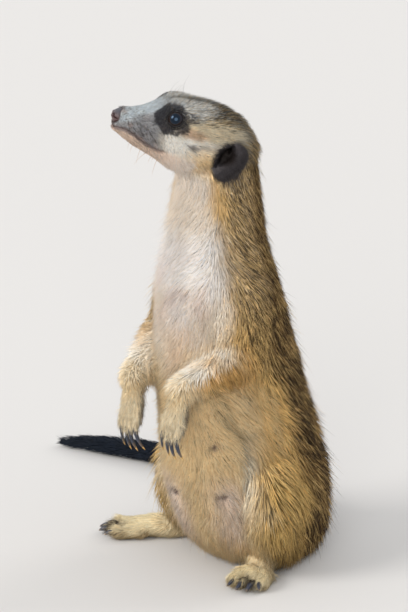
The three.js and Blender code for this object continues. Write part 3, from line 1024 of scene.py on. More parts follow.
def arm_colour(at, colour):
    """The body's colours with the arms on them: pale above and in front, tawny below, a painted shade under
    each elbow, and dark palms.
    """
    z = at.height
    # Pale where the arm faces up and in front, tawny beneath: partly the fur's own colours, partly painted
    # light on top and painted shade beneath.
    above = ramp(at.facing(0, -0.35, 0.94), 0.4, 0.75)
    for side in SIDES:
        near = at.near(elbow_of(side), 9, 22, at.noise(4, 26) * 3)
        above = above * (1 - 0.9 * near * ramp(at.normals[:, 1], -0.95, -0.5))
    arm = painted((206, 162, 96), ((246, 218, 168), ramp(-at.normals[:, 1], 0.45, 1.0)),
                  ((255, 250, 240), above))
    shoulder = ramp(z + at.noise(9, 21) * 4, 116, 138)
    on_arm = at.of("upper_arm") * (1 - shoulder) * fall(at.round, 52, 74) + at.of("forearm")
    # A painted shade on the fur under each elbow.
    shade_under_elbows = [at.near(elbow_of(side) + ELBOW_SHADE, 3, 12) * at.of("forearm") for side in SIDES]
    palm = at.of("hand") * ramp(at.facing(0.35, 0.9, -0.3), 0.1, 0.7)
    return painted(
        colour,
        (arm, on_arm),
        *(((150, 116, 68), pit * 0.45) for pit in shade_under_elbows),
        ((222, 198, 150), at.of("forearm") * fall(z, 103, 112) * 0.7),
        ((238, 222, 190), at.of("hand")),
        ((74, 58, 50), palm * 0.85),
    )


def shade_between_toes(points):
    """Where a shade is painted: 1 along the grooves between the toes, 0 elsewhere."""
    found = np.zeros(len(points))
    for side in SIDES:
        paw = paws["foot", side]
        for start, across in paw.gaps():
            along = (start - points) @ paw.ahead
            near = (along > -GROOVE_AHEAD) & (np.abs(points[:, 2] - start[2]) < 9)
            line = bell((points - start) @ across, 1.15) * fall(along, 5, paw.facts["length"]) * near
            found = np.maximum(found, line)
    return found


def leg_colour(at, colour):
    """The same with the legs, dark behind and pale inside and with a painted shade low down, the pale feet
    with painted shade low down and between the toes, and the tail with its dark end deepened by a painted
    shade.
    """
    z = at.height
    # Darker towards the floor: a painted shade.
    thigh = painted(
        (100, 74, 28),
        ((206, 172, 108), ramp(z, 3, 44)),
        ((242, 224, 192), fall(at.round, 42, 64) * 0.85),
        ((82, 58, 22), ramp(at.round + at.noise(9, 23) * 6, 84, 112)),
    )
    crest = bump(at.round + at.noise(6, 22) * 4, 55, 12) * bump(z, 59, 27)
    # Darker at the bottom and dark between the toes: painted shade.
    foot = painted((146, 126, 92), ((232, 218, 182), ramp(z + at.noise(4, 25) * 2, 1, 9)),
                   ((46, 34, 22), shade_between_toes(at.points)))
    # Blue-black along the tail: partly its own dark end, partly a painted shade.
    tail = painted((108, 82, 50), ((20, 28, 40), ramp(-at.points[:, 0], -5, 60)))
    return painted(colour, (thigh, at.of("thigh", "shank")), ((255, 246, 226), crest * 0.9),
                   (foot, at.of("foot")), (tail, at.of("tail")))


def head_colour(at):
    """The face: pale brow and bridge, grey muzzle, white cheeks and throat, and dark flecks."""
    a, u, side = at.ahead, at.up, at.beside
    wander = at.noise(5, 11) * 1.4 + at.noise(2, 12) * 0.6
    ragged = 0.5 * at.noise(1.6, 18)
    muzzle = ramp(a + wander * 1.8, 42, 58)
    temple = ramp(side + wander, 9, 15) * ramp(a, 8, 24) * fall(a, 50, 58) * fall(u + wander, 12, 16)
    cheek = ramp(side, 11, 16) * fall(u + wander, 1, 6) * ramp(a, 20, 30) * fall(a + wander, 47, 54)
    away, share = mouth_distance(at.local)
    mouth = np.interp(a, *np.transpose(MOUTH[::-1]))
    below = fall(u - mouth, -1.6, -0.2 + 2.4 * fall(a, 44, 54)) * (a > 34)
    lips = fall(away, 0.5, 1.7) * (a > MOUTH_BACK) * fall(share, 0.86, 1.0)
    under = painted((255, 244, 232), ((250, 226, 206), ramp(a, 30, 56)))
    cheek_marks = [at.spot((37.0, -1.0), (2.8, 1.1), 1.0, ragged) * (side > 12),
                   at.spot((31.0, 0.2), (7.0, 0.8), 1.0, ragged) * (side > 12) * 0.6]
    return painted(
        (134, 136, 132),  # the crown
        ((150, 132, 102), fall(a, 0, 22)),
        ((226, 212, 184), temple),
        ((238, 238, 234), at.spot(*BROW) * ramp(side, 1, 5)),
        ((168, 168, 170), muzzle),
        # the bridge, and the sooty and the rosy fur under it
        ((216, 224, 228), muzzle * ramp(u + 0.62 * (a - 60) + wander * 0.5, 4.0, 8.5)),
        ((128, 112, 108), at.spot((57.0, -3.5), (7.5, 3.0), 1.2) * ramp(side, 3, 6) * 0.2),
        ((196, 168, 154), muzzle * ramp(at.noise(3.2, 17), 0.1, 0.7) * fall(u, 3, 7) * 0.5),
        # the cheek, yellow at the jaw and rusty under the eye
        ((248, 244, 236), cheek),
        ((255, 222, 166), at.spot((25.0, -9.0), (13.0, 9.0), 1.2) * ramp(side, 10, 15) * 0.9),
        ((200, 160, 128), at.spot((39.0, 4.6), (6.0, 2.2), 1.0) * ramp(side, 10, 14) * 0.6),
        (under, np.maximum(below, fall(u, -17, -12))),
        ((150, 118, 108), lips * 0.55),
        *whisker_spots(at),
        ((84, 78, 78), np.maximum(*cheek_marks) * 0.7),
        ((62, 50, 50), fall(at.nose, 4.2, 5.8)),
    )


def whisker_spots(at):
    """Rows of small dark spots on each side of the muzzle, where the whiskers grow, as layers of paint."""
    rng = np.random.default_rng(SEED)
    for row, drop in enumerate((1.0, -1.0, -3.0)):
        for k in range(5):
            jog = rng.uniform(-0.7, 0.7, 2)
            size = rng.uniform(0.35, 0.75)
            ahead, up = 68.0 - 3.0 * k - 0.9 * row + jog[0], drop - 0.42 * k + 0.5 * jog[1]
            dot = fall(np.hypot(at.ahead - ahead, at.up - up), size * 0.5, size * 1.5)
            yield (52, 48, 50), dot * 0.5 * (at.beside > 3.5)


def ear_colour(at):
    """The ears' tone, with a painted shade darkest in their hollows, and where it lies."""
    places = [ear.local(at.local) for ear in ears.values()]
    on_left = norms(places[0]) <= norms(places[1])
    back, up, _ = np.where(on_left[:, None], *places).T
    shape = np.hypot(back / 10.5, up / 12.5) + 0.06 * at.noise(2.0, 31)
    # A painted shade in the hollow.
    hollow_shade = fall(np.hypot(back - EAR_HOLLOW["at"][0], up - EAR_HOLLOW["at"][1]), 3.0, 6.0)
    return painted((64, 60, 62), ((34, 27, 24), hollow_shade)), at.ear * fall(shape, 0.9, 1.0)


def bars_of_back(at):
    """The dark bars across the back, and the stretch that they lie on."""
    z, low, high = at.height, BARS["low"], BARS["high"]
    wave = np.sin(2 * math.pi * (z + at.noise(16, 8) * 1.9) / BARS["spacing"])
    bars = ramp(wave, -0.1, 0.4) * ramp(at.noise(8, 9), -0.6, -0.1)
    bars = bars * ramp(at.round, BARS["start"], BARS["start"] + 14)
    bars *= ramp(z, low, low + 14) * fall(z, high - 22, high)
    trunk = at.of("abdomen", "chest", "thigh")
    return bars * np.clip(trunk, 0, 1), trunk * ramp(at.round, 90, 110) * ramp(z, 20, 40) * fall(z, 130, 155)


def coat_colour(at):
    """The colour of the coat at each vertex, how grizzled it is there, and its dark ticks."""
    bars, between = bars_of_back(at)
    colour = painted(
        leg_colour(at, arm_colour(at, body_colour(at))),
        (head_colour(at), at.on_head),
        ear_colour(at),
        (TEAT_TONE, teats(at)),
        ((172, 138, 88), between * 0.75),
        (BARS["tone"], bars),
    )
    back = ramp(at.round - at.edge, 0, 22) * (1 - at.of("tail")) * (1 - at.on_head)
    back *= 1 - at.of("foot") - at.of("hand") - at.of("forearm")
    legs = 0.3 * at.of("thigh", "shank") * ramp(at.round, 52, 72)
    crown = at.on_head * fall(at.ahead, 46, 56) * np.maximum(ramp(at.up, 9, 14), fall(at.ahead, 6, 18))
    grizzle = np.clip(0.015 + np.maximum(back, legs) + crown * (1 - 0.6 * at.spot(*BROW)), 0, 1)
    grizzle = grizzle * (1 - at.ear) * (1 - at.of("tail"))
    muzzle = at.on_head * ramp(at.ahead, 44, 56) * fall(at.up, 4, 8)
    crown_ticks = at.on_head * bump(at.ahead, 28, 24) * ramp(at.up, 10, 16) * (1 - 0.7 * at.spot(*BROW))
    return colour, grizzle, np.clip(bars + 0.28 * muzzle + 0.6 * crown_ticks, 0, 1)


# ---- The lie of the coat ----

STREAK_ROUNDS = 14  # how often the streaks' values are passed on along the hairs


def limb_ways():
    """The way that the hairs run on each limb: (part, side) and a direction."""
    ways = {}
    for side in SIDES:
        elbow = elbow_of(side)
        shoulder = end_of(f"upper_arm_{side}", far=middle_of(f"forearm_{side}"))
        wrist = end_of(f"forearm_{side}", far=elbow)
        ways["upper_arm", side] = unit(elbow - shoulder) - UP * 0.4
        ways["forearm", side] = unit(wrist - elbow) * 0.5 + mirrored([0.22, 0.75, -0.5], side)
        ways["hand", side] = paws["hand", side].ahead
        ways["foot", side] = paws["foot", side].ahead - UP * 0.35
        ways["thigh", side] = np.array([0, 0.22, -1.0])
        ways["shank", side] = np.array([0, 0.1, -1.0])
    return ways


def tail_stretches():
    """The tail's middle line from its root to its end, as (start, end) of each stretch."""
    rump, *tail = (middle_of(n) for n in ("abdomen", "tail_1", "tail_2", "tail_3"))
    line = [end_of("tail_1", near=rump), *tail, end_of("tail_3", far=tail[1])]
    return zip(line[:-1], line[1:])


def head_way(at):
    """Back from the nose over the face, round the eyes, and down behind the crown."""
    way = np.tile([0.0, -1.0, -0.12], (len(at.points), 1))
    way[:, 2] -= 0.5 * fall(at.up, -14, 2) + 0.8 * fall(at.ahead, 2, 22)
    way[:, 0] += np.sign(at.side) * 0.25 * ramp(at.ahead, 30, 60)
    for side in SIDES:
        offset = at.local - eye_centre(side)
        away = norms(offset)
        way += offset / away[:, None] * (0.9 * fall(away, 5, 12))[:, None]
    return head.turned(way)


def trunk_way(at):
    """Down, drawn in to the middle of the chest, out over the belly, and back over the flanks."""
    z, turned = at.height, at.round
    from_middle = at.turn - MIDLINE * fall(z, 105, 140)
    around = unit(np.cross(UP, at.normals) * [1, 1, 0]) * np.tanh(from_middle / 8)[:, None]
    drawn_in = bump(z, 168, 38) * bump(turned, 32, 28)
    swept_back = bump(z, 160, 58) * bump(turned, 80, 36)
    belly_out = bump(z, 88, 44) * ramp(turned, 8, 26) * (1 - 0.6 * ramp(turned, 40, 80))
    belly_out = belly_out * fall(turned, 90, 125)
    groin = bump(z, 46, 16) * bump(turned, 34, 24)
    sideways = -1.3 * drawn_in + 1.1 * swept_back + 1.35 * belly_out + 1.1 * groin
    return around * sideways[:, None] - UP * (1 - 0.3 * belly_out - 0.9 * groin)[:, None]


def lie_of_coat(at):
    """The direction along the skin in which the hairs point, for each vertex."""
    way = trunk_way(at) * at.of("neck", "chest", "abdomen")[:, None] + head_way(at) * at.of("head")[:, None]
    left = at.points[:, 0] > 0
    for (part, side), direction in limb_ways().items():
        here = at.of(part) * (left if side == "left" else ~left)
        way += unit(direction) * here[:, None]
    for start, end in tail_stretches():
        near = bell(norms(at.points - (start + end) / 2), 30)
        way += unit(end - start) * (at.of("tail") * near)[:, None]
    for _ in range(6):
        way -= at.normals * (way * at.normals).sum(axis=1)[:, None]
        way = calmed(unit(way), at.links, 2, 0.5)
    return unit(way)


def streaks(at, way):
    """Uneven lighter and darker bands that run the way the hairs lie, about 0 with a spread of 1."""
    heads, tails, counts = at.links
    along = unit(at.points[tails] - at.points[heads])
    weight = np.abs((along * way[heads]).sum(axis=1)) ** 8 + 0.002
    total = np.bincount(heads, weight, minlength=len(counts))
    value = np.random.default_rng(SEED + 5).normal(0, 1, len(counts))
    for _ in range(STREAK_ROUNDS):
        passed_on = np.bincount(heads, weight * value[tails], minlength=len(counts)) / total
        value = 0.4 * value + 0.6 * passed_on
    value -= calmed(value, at.links, 6)
    return value / value.std()


# ---- Tufts ----

FINE_PARTS = ("head", "hand", "foot", "front")  # straight tufts of one stretch
SINK = 0.35  # how far a tuft's root goes below the skin
STRAY = 0.03  # the share of tufts that stand off from the others
CLUMP = {"head": 1.9, "body": 3.2}  # how far apart the locks are that tufts gather in
DARK_HAIR, DARK_TIP, STRAW_HAIR = (52, 38, 22), (50, 40, 30), (208, 176, 118)
UNWRAP = dict(angle_limit=1.15, island_margin=0.004, scale_to_bounds=True)
PATCH = 0.003  # how large a tuft is on the unwrap
# A tuft's points in its patch of the unwrap: the ring at its root, the one at its bend, and its tip.
PATCH_CORNERS = [(-0.5, -0.5), (0.5, -0.5), (0.0, -0.3), (-0.4, 0.05), (0.4, 0.05), (0.0, 0.15), (0.0, 0.5)]
# The triangles of a tuft with a bend in it, and of a straight one.
BENT = [(0, 4, 1), (0, 3, 4), (1, 5, 2), (1, 4, 5), (2, 3, 0), (2, 5, 3), (3, 6, 4), (4, 6, 5), (5, 6, 3),
        (0, 1, 2)]
STRAIGHT = [(0, 3, 1), (1, 3, 2), (2, 3, 0), (0, 1, 2)]


def skin_unwrap(points, triangles):
    """Places on an unwrap of a stretch of skin, for each corner of each triangle."""
    mesh = filled_mesh("unwrap", points * MM, triangles)
    holder = added("unwrap", mesh)
    bpy.context.view_layer.objects.active = holder
    holder.select_set(True)
    bpy.ops.object.mode_set(mode="EDIT")
    bpy.ops.mesh.select_all(action="SELECT")
    bpy.ops.uv.smart_project(**UNWRAP)
    bpy.ops.object.mode_set(mode="OBJECT")
    flat = column(mesh.uv_layers.active.uv, "vector", 2)
    bpy.data.objects.remove(holder)
    bpy.data.meshes.remove(mesh)
    return flat.reshape(-1, 3, 2)


def scattered(surface, triangles, density, rng):
    """Roots spread evenly by area and density: the triangle of each and its share of the three corners."""
    a, b, c = (surface.points[corner] for corner in triangles.T)
    area = norms(np.cross(b - a, c - a)) / 2
    wanted = np.cumsum(area * density[triangles].mean(axis=1))
    count = int(wanted[-1])
    places = (np.arange(count) + rng.random(count)) * wanted[-1] / count
    chosen = np.minimum(np.searchsorted(wanted, places), len(triangles) - 1)
    r, t = np.sqrt(rng.random(count)), rng.random(count)
    return chosen, np.stack([1 - r, r * (1 - t), r * t], axis=1)


def tuft_points(root, normal, way, length, width, stand, pull, bent):
    """Three-sided spikes that bend down towards their tips: rows of 7 points, or of 4 for straight ones."""
    length, width = length[:, None], width[:, None]
    sink = np.minimum(SINK, 0.12 * length)
    rise = np.arcsin(np.clip((stand[:, None] + sink) / length, 0.03, 0.9))
    base = root - normal * sink

    def step(angle):
        return way * np.cos(angle) + normal * np.sin(angle)

    if bent:
        middle = base + step(rise * 1.35) * (length * 0.45)
        tip = middle + step(rise * 0.65) * (length * 0.55) + pull * 0.6
        rings = [(base, 0.42), (middle + pull * 0.4, 0.48)]
    else:
        tip = base + step(rise) * length + pull
        rings = [(base, 0.5)]
    across = np.cross(way, normal)
    points = []
    for centre, half in rings:
        w = width * half
        points += [centre - across * w, centre + across * w, centre + normal * w * 0.8]
    return np.stack([*points, tip], axis=1)


def above_floor(z):
    """Heights that would go below the floor, pressed together just above it."""
    least = FLOOR_CLEAR / 4
    return np.where(z < 1, least + (1 - least) * np.exp(np.minimum(z - 1, 0)), z)


def tuft_colours(colour, grizzle, ticks, shade, rng, bent):
    """Colours of each tuft's points: darker at the root and lighter at the tip, painted shade and highlight
    that grow with shade, and some tufts dark or straw where grizzled.
    """
    count = len(colour)
    tone = np.exp(rng.normal(0, 1, count) * (0.07 + 0.06 * grizzle + 0.13 * shade))[:, None]
    warm = 1 + rng.normal(0, 0.035, count)[:, None] * np.array([1, 0, -1.3])
    luck = rng.random(count)
    dark = (luck < 0.4 * grizzle + 0.55 * ticks) * 0.8
    straw = (luck > 1 - 0.34 * grizzle * (1 - 0.95 * ticks)) * 0.7
    middle = painted(colour * tone * warm, (DARK_HAIR, dark), (STRAW_HAIR, straw))
    # Painted shade at the root and a painted highlight at the tip.
    root = middle * (0.93 - 0.45 * shade)[:, None]
    tip = painted(middle * (1.12 + 0.12 * shade)[:, None], (DARK_TIP, dark * 0.8))
    layers = [root] * 3 + [middle] * 3 + [tip] if bent else [mixed(root, middle, 0.4)] * 3 + [tip]
    colours = np.stack(layers, axis=1).reshape(-1, 3)
    return colours / np.maximum(colours.max(axis=1, keepdims=True), 1)


def piece_of_triangles(at, triangles):
    """The name of the coat piece that each triangle of the skin belongs to."""
    share = np.stack([at.shares[part] for part in PARTS])[:, triangles].mean(axis=2)
    parts = np.array(list(PARTS))[share.argmax(axis=0)]
    beside = np.where(np.isin(parts, ("head", "neck")), head.local(at.points[triangles].mean(axis=1))[:, 0],
                      at.points[triangles, 0].mean(axis=1))
    sides = np.where(beside > 0, "left", "right")
    fronts = np.where((at.round - at.edge)[triangles].mean(axis=1) < 4, "front", "back")
    limbs = {"upper_arm": "arm", "forearm": "arm", "shank": "leg", "thigh": "leg"}
    names = []
    for part, side, front in zip(parts, sides, fronts):
        name = limbs.get(part, part)
        if part in ("neck", "chest", "abdomen"):
            name = f"{name}_{front}"
        names.append(f"coat_{name}" if part == "tail" else f"coat_{name}_{side}")
    return np.array(names)


def locks(roots, spacing):
    """The middle of the lock that each tuft belongs to, and that lock's own tone from -1 to 1."""
    cell = np.floor(roots / spacing)
    key = (cell * [73856093, 19349663, 83492791]).astype(np.int64).sum(axis=1) % 4096
    table = np.random.default_rng(SEED + 5).uniform(-1, 1, (4096, 4))
    return (cell + 0.5 + 0.35 * table[key, :3]) * spacing, table[key, 3]


def coat_piece(name, surface, fields, triangles, rng):
    """The tufts of one stretch of skin, as a mesh in millimetres."""
    chosen, weights = scattered(surface, triangles, fields["density"], rng)
    corners = triangles[chosen]
    count = len(corners)
    on_head = "head" in name

    def here(key):
        values = fields[key][corners]
        return (values * weights if values.ndim == 2 else values * weights[:, :, None]).sum(axis=1)

    root = here("root")
    normal = unit(here("normal"))
    way = here("way")
    swing = 0.34 * noise(root, 4.0, SEED) + 0.26 * noise(root, 11.0, SEED + 1) + rng.normal(0, 0.10, count)
    way = unit(way - normal * (way * normal).sum(axis=1)[:, None])
    way = unit(way + np.cross(way, normal) * swing[:, None])
    length = here("length") * np.clip(rng.normal(1, 0.2, count), 0.5, 1.6)
    width = here("width") * rng.uniform(0.75, 1.25, count)
    stand = here("stand") * np.clip(rng.normal(0.85, 0.22, count), 0.25, 1.5)
    stray = rng.random(count) < here("stray")
    length, width, stand = (np.where(stray, size * more, size)
                            for size, more in ((length, 1.4), (width, 0.6), (stand, 1.9)))
    lock, tone = locks(root, CLUMP["head" if on_head else "body"])
    pull = lock - root
    for direction in (normal, way):
        pull -= direction * (pull * direction).sum(axis=1)[:, None]
    pull *= (0.42 * here("clump") * rng.uniform(0.4, 1.1, count))[:, None]
    bent = not any(part in name for part in FINE_PARTS)
    points = tuft_points(root, normal, way, length, width, stand, pull, bent)
    size = points.shape[1]
    points = points.reshape(-1, 3)
    points[:, 2] = above_floor(points[:, 2])
    tufts = (np.arange(count) * size)[:, None, None] + np.array(BENT if bent else STRAIGHT)
    mesh = filled_mesh(name, points, tufts.reshape(-1, 3))
    shade = here("shade")
    fleck = 1 + 0.12 * noise(root, 1.6, SEED + 9) + tone * (0.16 if on_head else 0.06 + 0.14 * shade)
    fleck += here("streak") * (0.03 if on_head else 0.07 + 0.14 * shade)
    black = ramp(here("patch") + rng.normal(0, 0.2, count), 0.3, 0.7) * rng.uniform(0.8, 1.0, count)
    colour = painted(here("colour") * fleck[:, None], (PATCH_TONE, black))
    grizzle, ticks = (here(key) * (1 - black) for key in ("grizzle", "ticks"))
    save_colour(mesh, tuft_colours(colour, grizzle, ticks, shade, rng, bent))
    place = (skin_unwrap(surface.points, triangles)[chosen] * weights[:, :, None]).sum(axis=1)
    offsets = np.array(PATCH_CORNERS if bent else [*PATCH_CORNERS[:3], PATCH_CORNERS[-1]]) * PATCH
    patch = (place[:, None, :] * (1 - 2 * PATCH) + PATCH + offsets).reshape(-1, 2)
    layer = mesh.uv_layers.new(name="OFBake")
    layer.uv.foreach_set("vector", patch[tufts.ravel()].astype(np.float32).ravel())
    return mesh


def coat_fields(at):
    """What the tufts are made from, at each vertex of the skin."""
    length, width, layers = (by_part(at.shares, key) for key in ("length", "breadth", "layers"))
    face = at.of("head") * ramp(at.ahead, 30, 56)
    ruff = at.of("head") * fall(at.ahead, 14, 34) * (1 - at.ear)
    front = at.of("chest") * fall(at.round, 20, 50) + at.of("abdomen") * fall(at.round, 34, 66)
    fringe = at.of("forearm") * ramp(at.normals[:, 1] - at.normals[:, 2], 0.0, 0.8)
    hem = at.of("abdomen") * fall(at.height, 12, 34) * fall(at.round, 60, 90)
    mane = ramp(at.round, 92, 122) * bump(at.height, 75, 120) * at.of("abdomen", "thigh")
    breast = bump(at.height, 172, 38) * fall(at.round, 50, 80) * at.of("chest", "neck")
    collar = at.of("neck") * ramp(at.height, 184, 200)
    length = length * (1 - 0.6 * face) * (1 - 0.45 * at.ear) + 2.2 * ruff
    length = length * (1 - 0.38 * front) + 6.0 * fringe + 4.0 * hem
    length = length * (1 - 0.66 * teats(at, (2.5, 7.0)))
    width = width * (1 - 0.25 * face) * (1 - 0.2 * at.ear) * (1 - 0.16 * front) * (1 - 0.22 * collar)
    stand = np.maximum(at.depth * 1.15, 0.4) + 0.6 * at.of("hand") + 3.0 * mane + 2.0 * fringe
    stand = stand + 0.3 * ruff * ramp(at.up, 2, 10)
    stand = stand * (1 - 0.22 * front) * (1 - 0.25 * at.of("tail")) * (1 - 0.25 * at.of("foot"))
    stand = stand + 0.8 * breast
    density = layers / (length * width * 0.5) * (1 + 0.35 * np.clip(front + breast, 0, 1))
    bare = fall(at.eye_gap(), -0.6, 0.3)
    density *= (1 - bare) * (1 - 0.9 * fall(at.nose, 4.4, 5.6)) * (at.height > 0.8)
    colour, grizzle, ticks = coat_colour(at)
    # shade: painted shade at the tufts' roots and on the skin between them, where the coat is grizzled, on
    # the haunches, low on the belly and under the forearms' fringe, deepest low on the haunches.
    haunch_shade = at.of("thigh", "shank") * ramp(at.round, 55, 75)
    belly_shade = at.of("abdomen", "chest") * fall(at.height, 104, 118) * (0.5 + 0.3 * ramp(at.round, 30, 62))
    shade = np.maximum.reduce([grizzle, haunch_shade, belly_shade, 0.5 * fringe])
    way = lie_of_coat(at)
    return dict(
        root=at.points, normal=at.normals, way=way, length=length, width=width, stand=stand, density=density,
        clump=np.clip(1 - 0.35 * at.of("head") - at.of("hand") - at.of("foot"), 0, 1),
        stray=STRAY * (1 - at.of("head")) + 0.09 * breast,
        colour=colour, grizzle=grizzle, ticks=ticks, patch=eye_patch(at), streak=streaks(at, way),
        shade=np.clip(shade + 0.5 * haunch_shade * fall(at.height, 10, 40), 0, 1.4),
    )


# ---- Whiskers ----

# Each group: where its hairs grow as (side, ahead, up), the way they point, how they bend, their length,
# half their width and their tone.
WHISKERS = [
    dict(roots=[(6.4, 67.2, 0.6), (8.0, 65.0, -1.2), (7.6, 63.8, 1.4), (9.0, 61.6, -0.4), (10.0, 60.0, -2.4),
                (9.6, 58.6, 1.2), (10.8, 57.0, -1.0)],
         way=(0.80, -0.10, -0.30), bend=(0.0, -0.55, -0.25), length=16.0, half=0.10, tone=rgb(44, 38, 38)),
    dict(roots=[(9.5, 46.0, 16.5), (10.8, 43.5, 16.6), (8.6, 48.5, 15.8), (11.5, 41.0, 16.4),
                (10.0, 44.6, 17.2)],
         way=(0.22, 0.20, 0.75), bend=(0.15, -0.90, 0.0), length=9.0, half=0.055, tone=rgb(52, 44, 40)),
    dict(roots=[(3.0, 60.5, -9.0), (5.0, 57.0, -10.5), (3.5, 53.5, -12.0), (6.5, 51.0, -12.0),
                (4.0, 47.5, -14.0)],
         way=(0.10, 0.25, -0.85), bend=(0.0, -0.35, 0.0), length=8.5, half=0.09, tone=rgb(176, 132, 84)),
]


def whiskers(skin):
    """The long stiff hairs of the muzzle, the brows and the chin, as closed tapered tubes."""
    tree = BVHTree.FromPolygons(skin.points.tolist(), skin.triangles.tolist())
    rng = np.random.default_rng(SEED + 7)
    t = np.linspace(-0.05, 1, 9)[:, None]
    shapes, tones = [], []
    for group, side in itertools.product(WHISKERS, SIDES):
        for root in group["roots"]:
            jog = rng.normal(0, 0.16, 3)
            length = group["length"] * rng.uniform(0.5, 1.15)
            foot = tree.find_nearest(Vector(head.outer(mirrored(root, side))))[0]
            way = mirrored(np.array(group["way"]) + jog, side)
            run = way * t + mirrored(group["bend"], side) * np.sign(t) * t**2 * 0.6
            path = np.array(foot) + head.turned(run) * length
            shapes.append(tube(path, group["half"] * (1 - 0.85 * np.clip(t[:, 0], 0, 1)), 5))
            tones += [group["tone"]] * len(shapes[-1][0])
    mesh = filled_mesh("whiskers", *joined(shapes))
    save_colour(mesh, np.array(tones))
    return mesh


# ---- Materials ----

class Tree:
    """A node tree, with short ways to add its nodes and to feed them."""

    def __init__(self, tree):
        self.tree = tree

    def feed(self, node, inputs):
        """Sets inputs of a node: a constant, or the output of another node."""
        for name, value in inputs.items():
            if isinstance(value, bpy.types.NodeSocket):
                self.tree.links.new(value, node.inputs[name])
            else:
                node.inputs[name].default_value = value

    def node(self, kind, inputs=None, output=0, **settings):
        """The output of a new node."""
        node = self.tree.nodes.new("ShaderNode" + kind)
        for name, value in settings.items():
            setattr(node, name, value)
        self.feed(node, inputs or {})
        return node.outputs[output]

    def saved(self, name, output="Fac"):
        """A value or a colour that is saved on the mesh."""
        return self.node("Attribute", output=output, attribute_name=name)

    def texture(self, kind, scale, output, **inputs):
        place = self.node("TexCoord", output="Object")
        return self.node("Tex" + kind, {"Vector": place, "Scale": scale, **inputs}, output)

    def bands(self, value, stops):
        """Colours along a value: (place, colour)."""
        colour = self.node("ValToRGB", {"Fac": value}, "Color")
        elements = colour.node.color_ramp.elements
        while len(elements) < len(stops):
            elements.new(0.5)
        for element, (place, tone) in zip(elements, stops):
            element.position = place
            element.color = (*tone, 1)
        return colour

    def blend(self, first, second, share):
        """A colour between two."""
        return self.node("Mix", {"A": first, "B": second, "Factor": share}, "Result", data_type="RGBA")

    def bumps(self, height, strength, distance):
        inputs = {"Strength": strength, "Distance": distance, "Height": height}
        return self.node("Bump", inputs, "Normal")

    def flecked(self, grain, low, high):
        """The coat's colours, lighter and darker with a grain."""
        share = self.node("MapRange", {"To Min": low, "To Max": high, "Value": grain}, "Result")
        inputs = {0: self.saved("coat", "Color"), "Scale": share}
        return self.node("VectorMath", inputs, "Vector", operation="SCALE")


def material(name, recipe):
    """A material whose shader is fed what its recipe says, by the names of its inputs."""
    made = bpy.data.materials.new(name)
    made.use_nodes = True
    tree = Tree(made.node_tree)
    tree.feed(made.node_tree.nodes["Principled BSDF"], recipe(tree))
    return made


def hair(tree):
    """The coat's colours with fine streaks, dull, with a soft sheen."""
    grain = tree.texture("Noise", 900, "Fac", Detail=2)
    return {"Base Color": tree.flecked(grain, 0.86, 1.14), "Roughness": 0.62, "Specular IOR Level": 0.18}


def bare_skin(tree):
    """The skin under the coat: its colours a little deeper, with a fine nap."""
    nap = tree.texture("Noise", 1400, "Fac", Detail=3)
    return {"Base Color": tree.flecked(nap, 0.85, 1.05), "Normal": tree.bumps(nap, 0.5, 0.0003),
            "Roughness": 0.7, "Specular IOR Level": 0.25}


def wet_eye(tree):
    """A wet, nearly black eye: a dark brown iris round a black pupil, with a faint blue in the pupil and a
    blue tint on its gloss, a painted sky reflection.
    """
    stops = [(0.60, (0.006, 0.005, 0.005)), (0.72, (0.016, 0.009, 0.006)), (0.84, (0.022, 0.012, 0.007)),
             (0.88, (0.003, 0.004, 0.006)), (1.0, (0.003, 0.004, 0.007))]
    # The pupil's faint blue and the gloss's blue tint are a painted sky reflection.
    return {"Base Color": tree.bands(tree.saved("sight"), stops), "Roughness": 0.05,
            "Specular IOR Level": 0.45, "Specular Tint": (0.42, 0.66, 1.0, 1)}


def nose_leather(tree):
    """Bare leather: dark and pinkish with a painted bluish-grey reflection on top, finely pebbled and moist,
    and near black with painted shade in the nostrils.
    """
    pebbles = tree.texture("Voronoi", 2200, "Distance")
    # A painted bluish-grey reflection on top, and painted shade in the nostrils.
    leather = tree.blend((*rgb(82, 62, 62), 1), (*rgb(74, 74, 82), 1), tree.saved("painted_reflection"))
    tone = tree.blend(leather, (*rgb(40, 16, 14), 1), tree.saved("hollow_shade"))
    return {"Base Color": tone, "Normal": tree.bumps(pebbles, 0.35, 0.0002), "Roughness": 0.34}


def horn(tree):
    """Blue-black at the root and ochre at the tip, with faint lengthwise streaks."""
    grain = tree.texture("Noise", 700, "Fac")
    shift = tree.node("Math", {0: grain, 1: 0.3, 2: tree.saved("along")}, operation="MULTIPLY_ADD")
    stops = [(0.0, rgb(34, 37, 48)), (0.80, rgb(52, 56, 70)), (1.06, rgb(110, 90, 64)),
             (1.2, rgb(196, 156, 92))]
    return {"Base Color": tree.bands(shift, stops), "Roughness": 0.32}


# ---- The pieces ----

def place_coat(surface, at, fields, coat):
    """The coat's pieces, each with its own random draws."""
    names = piece_of_triangles(at, surface.triangles)
    for number, name in enumerate(sorted(set(names))):
        rng = np.random.default_rng([SEED, number])
        mesh = coat_piece(name, surface, fields, surface.triangles[names == name], rng)
        add_piece(mesh, name, coat)
    add_piece(whiskers(surface), "whiskers", coat)


def place_skin(surface, at, fields):
    """The skin under the coat, in the coat's colours darkened by the painted shade between the tufts, and
    dark at the lids' edges.
    """
    mesh = surface.save()
    colour = painted(
        # Darkened by the painted shade between the tufts.
        fields["colour"] * (0.97 - 0.38 * fields["shade"])[:, None],
        (PATCH_TONE, fields["patch"]),
        ((22, 20, 22), fall(at.eye_gap(), 0.2, 1.6)),
    )
    save_colour(mesh, colour)
    ear_nodes = [f"ear_{side}" for side in SIDES]
    add_piece(mesh, "skin", material("skin", bare_skin), [*FLESH, *ear_nodes])


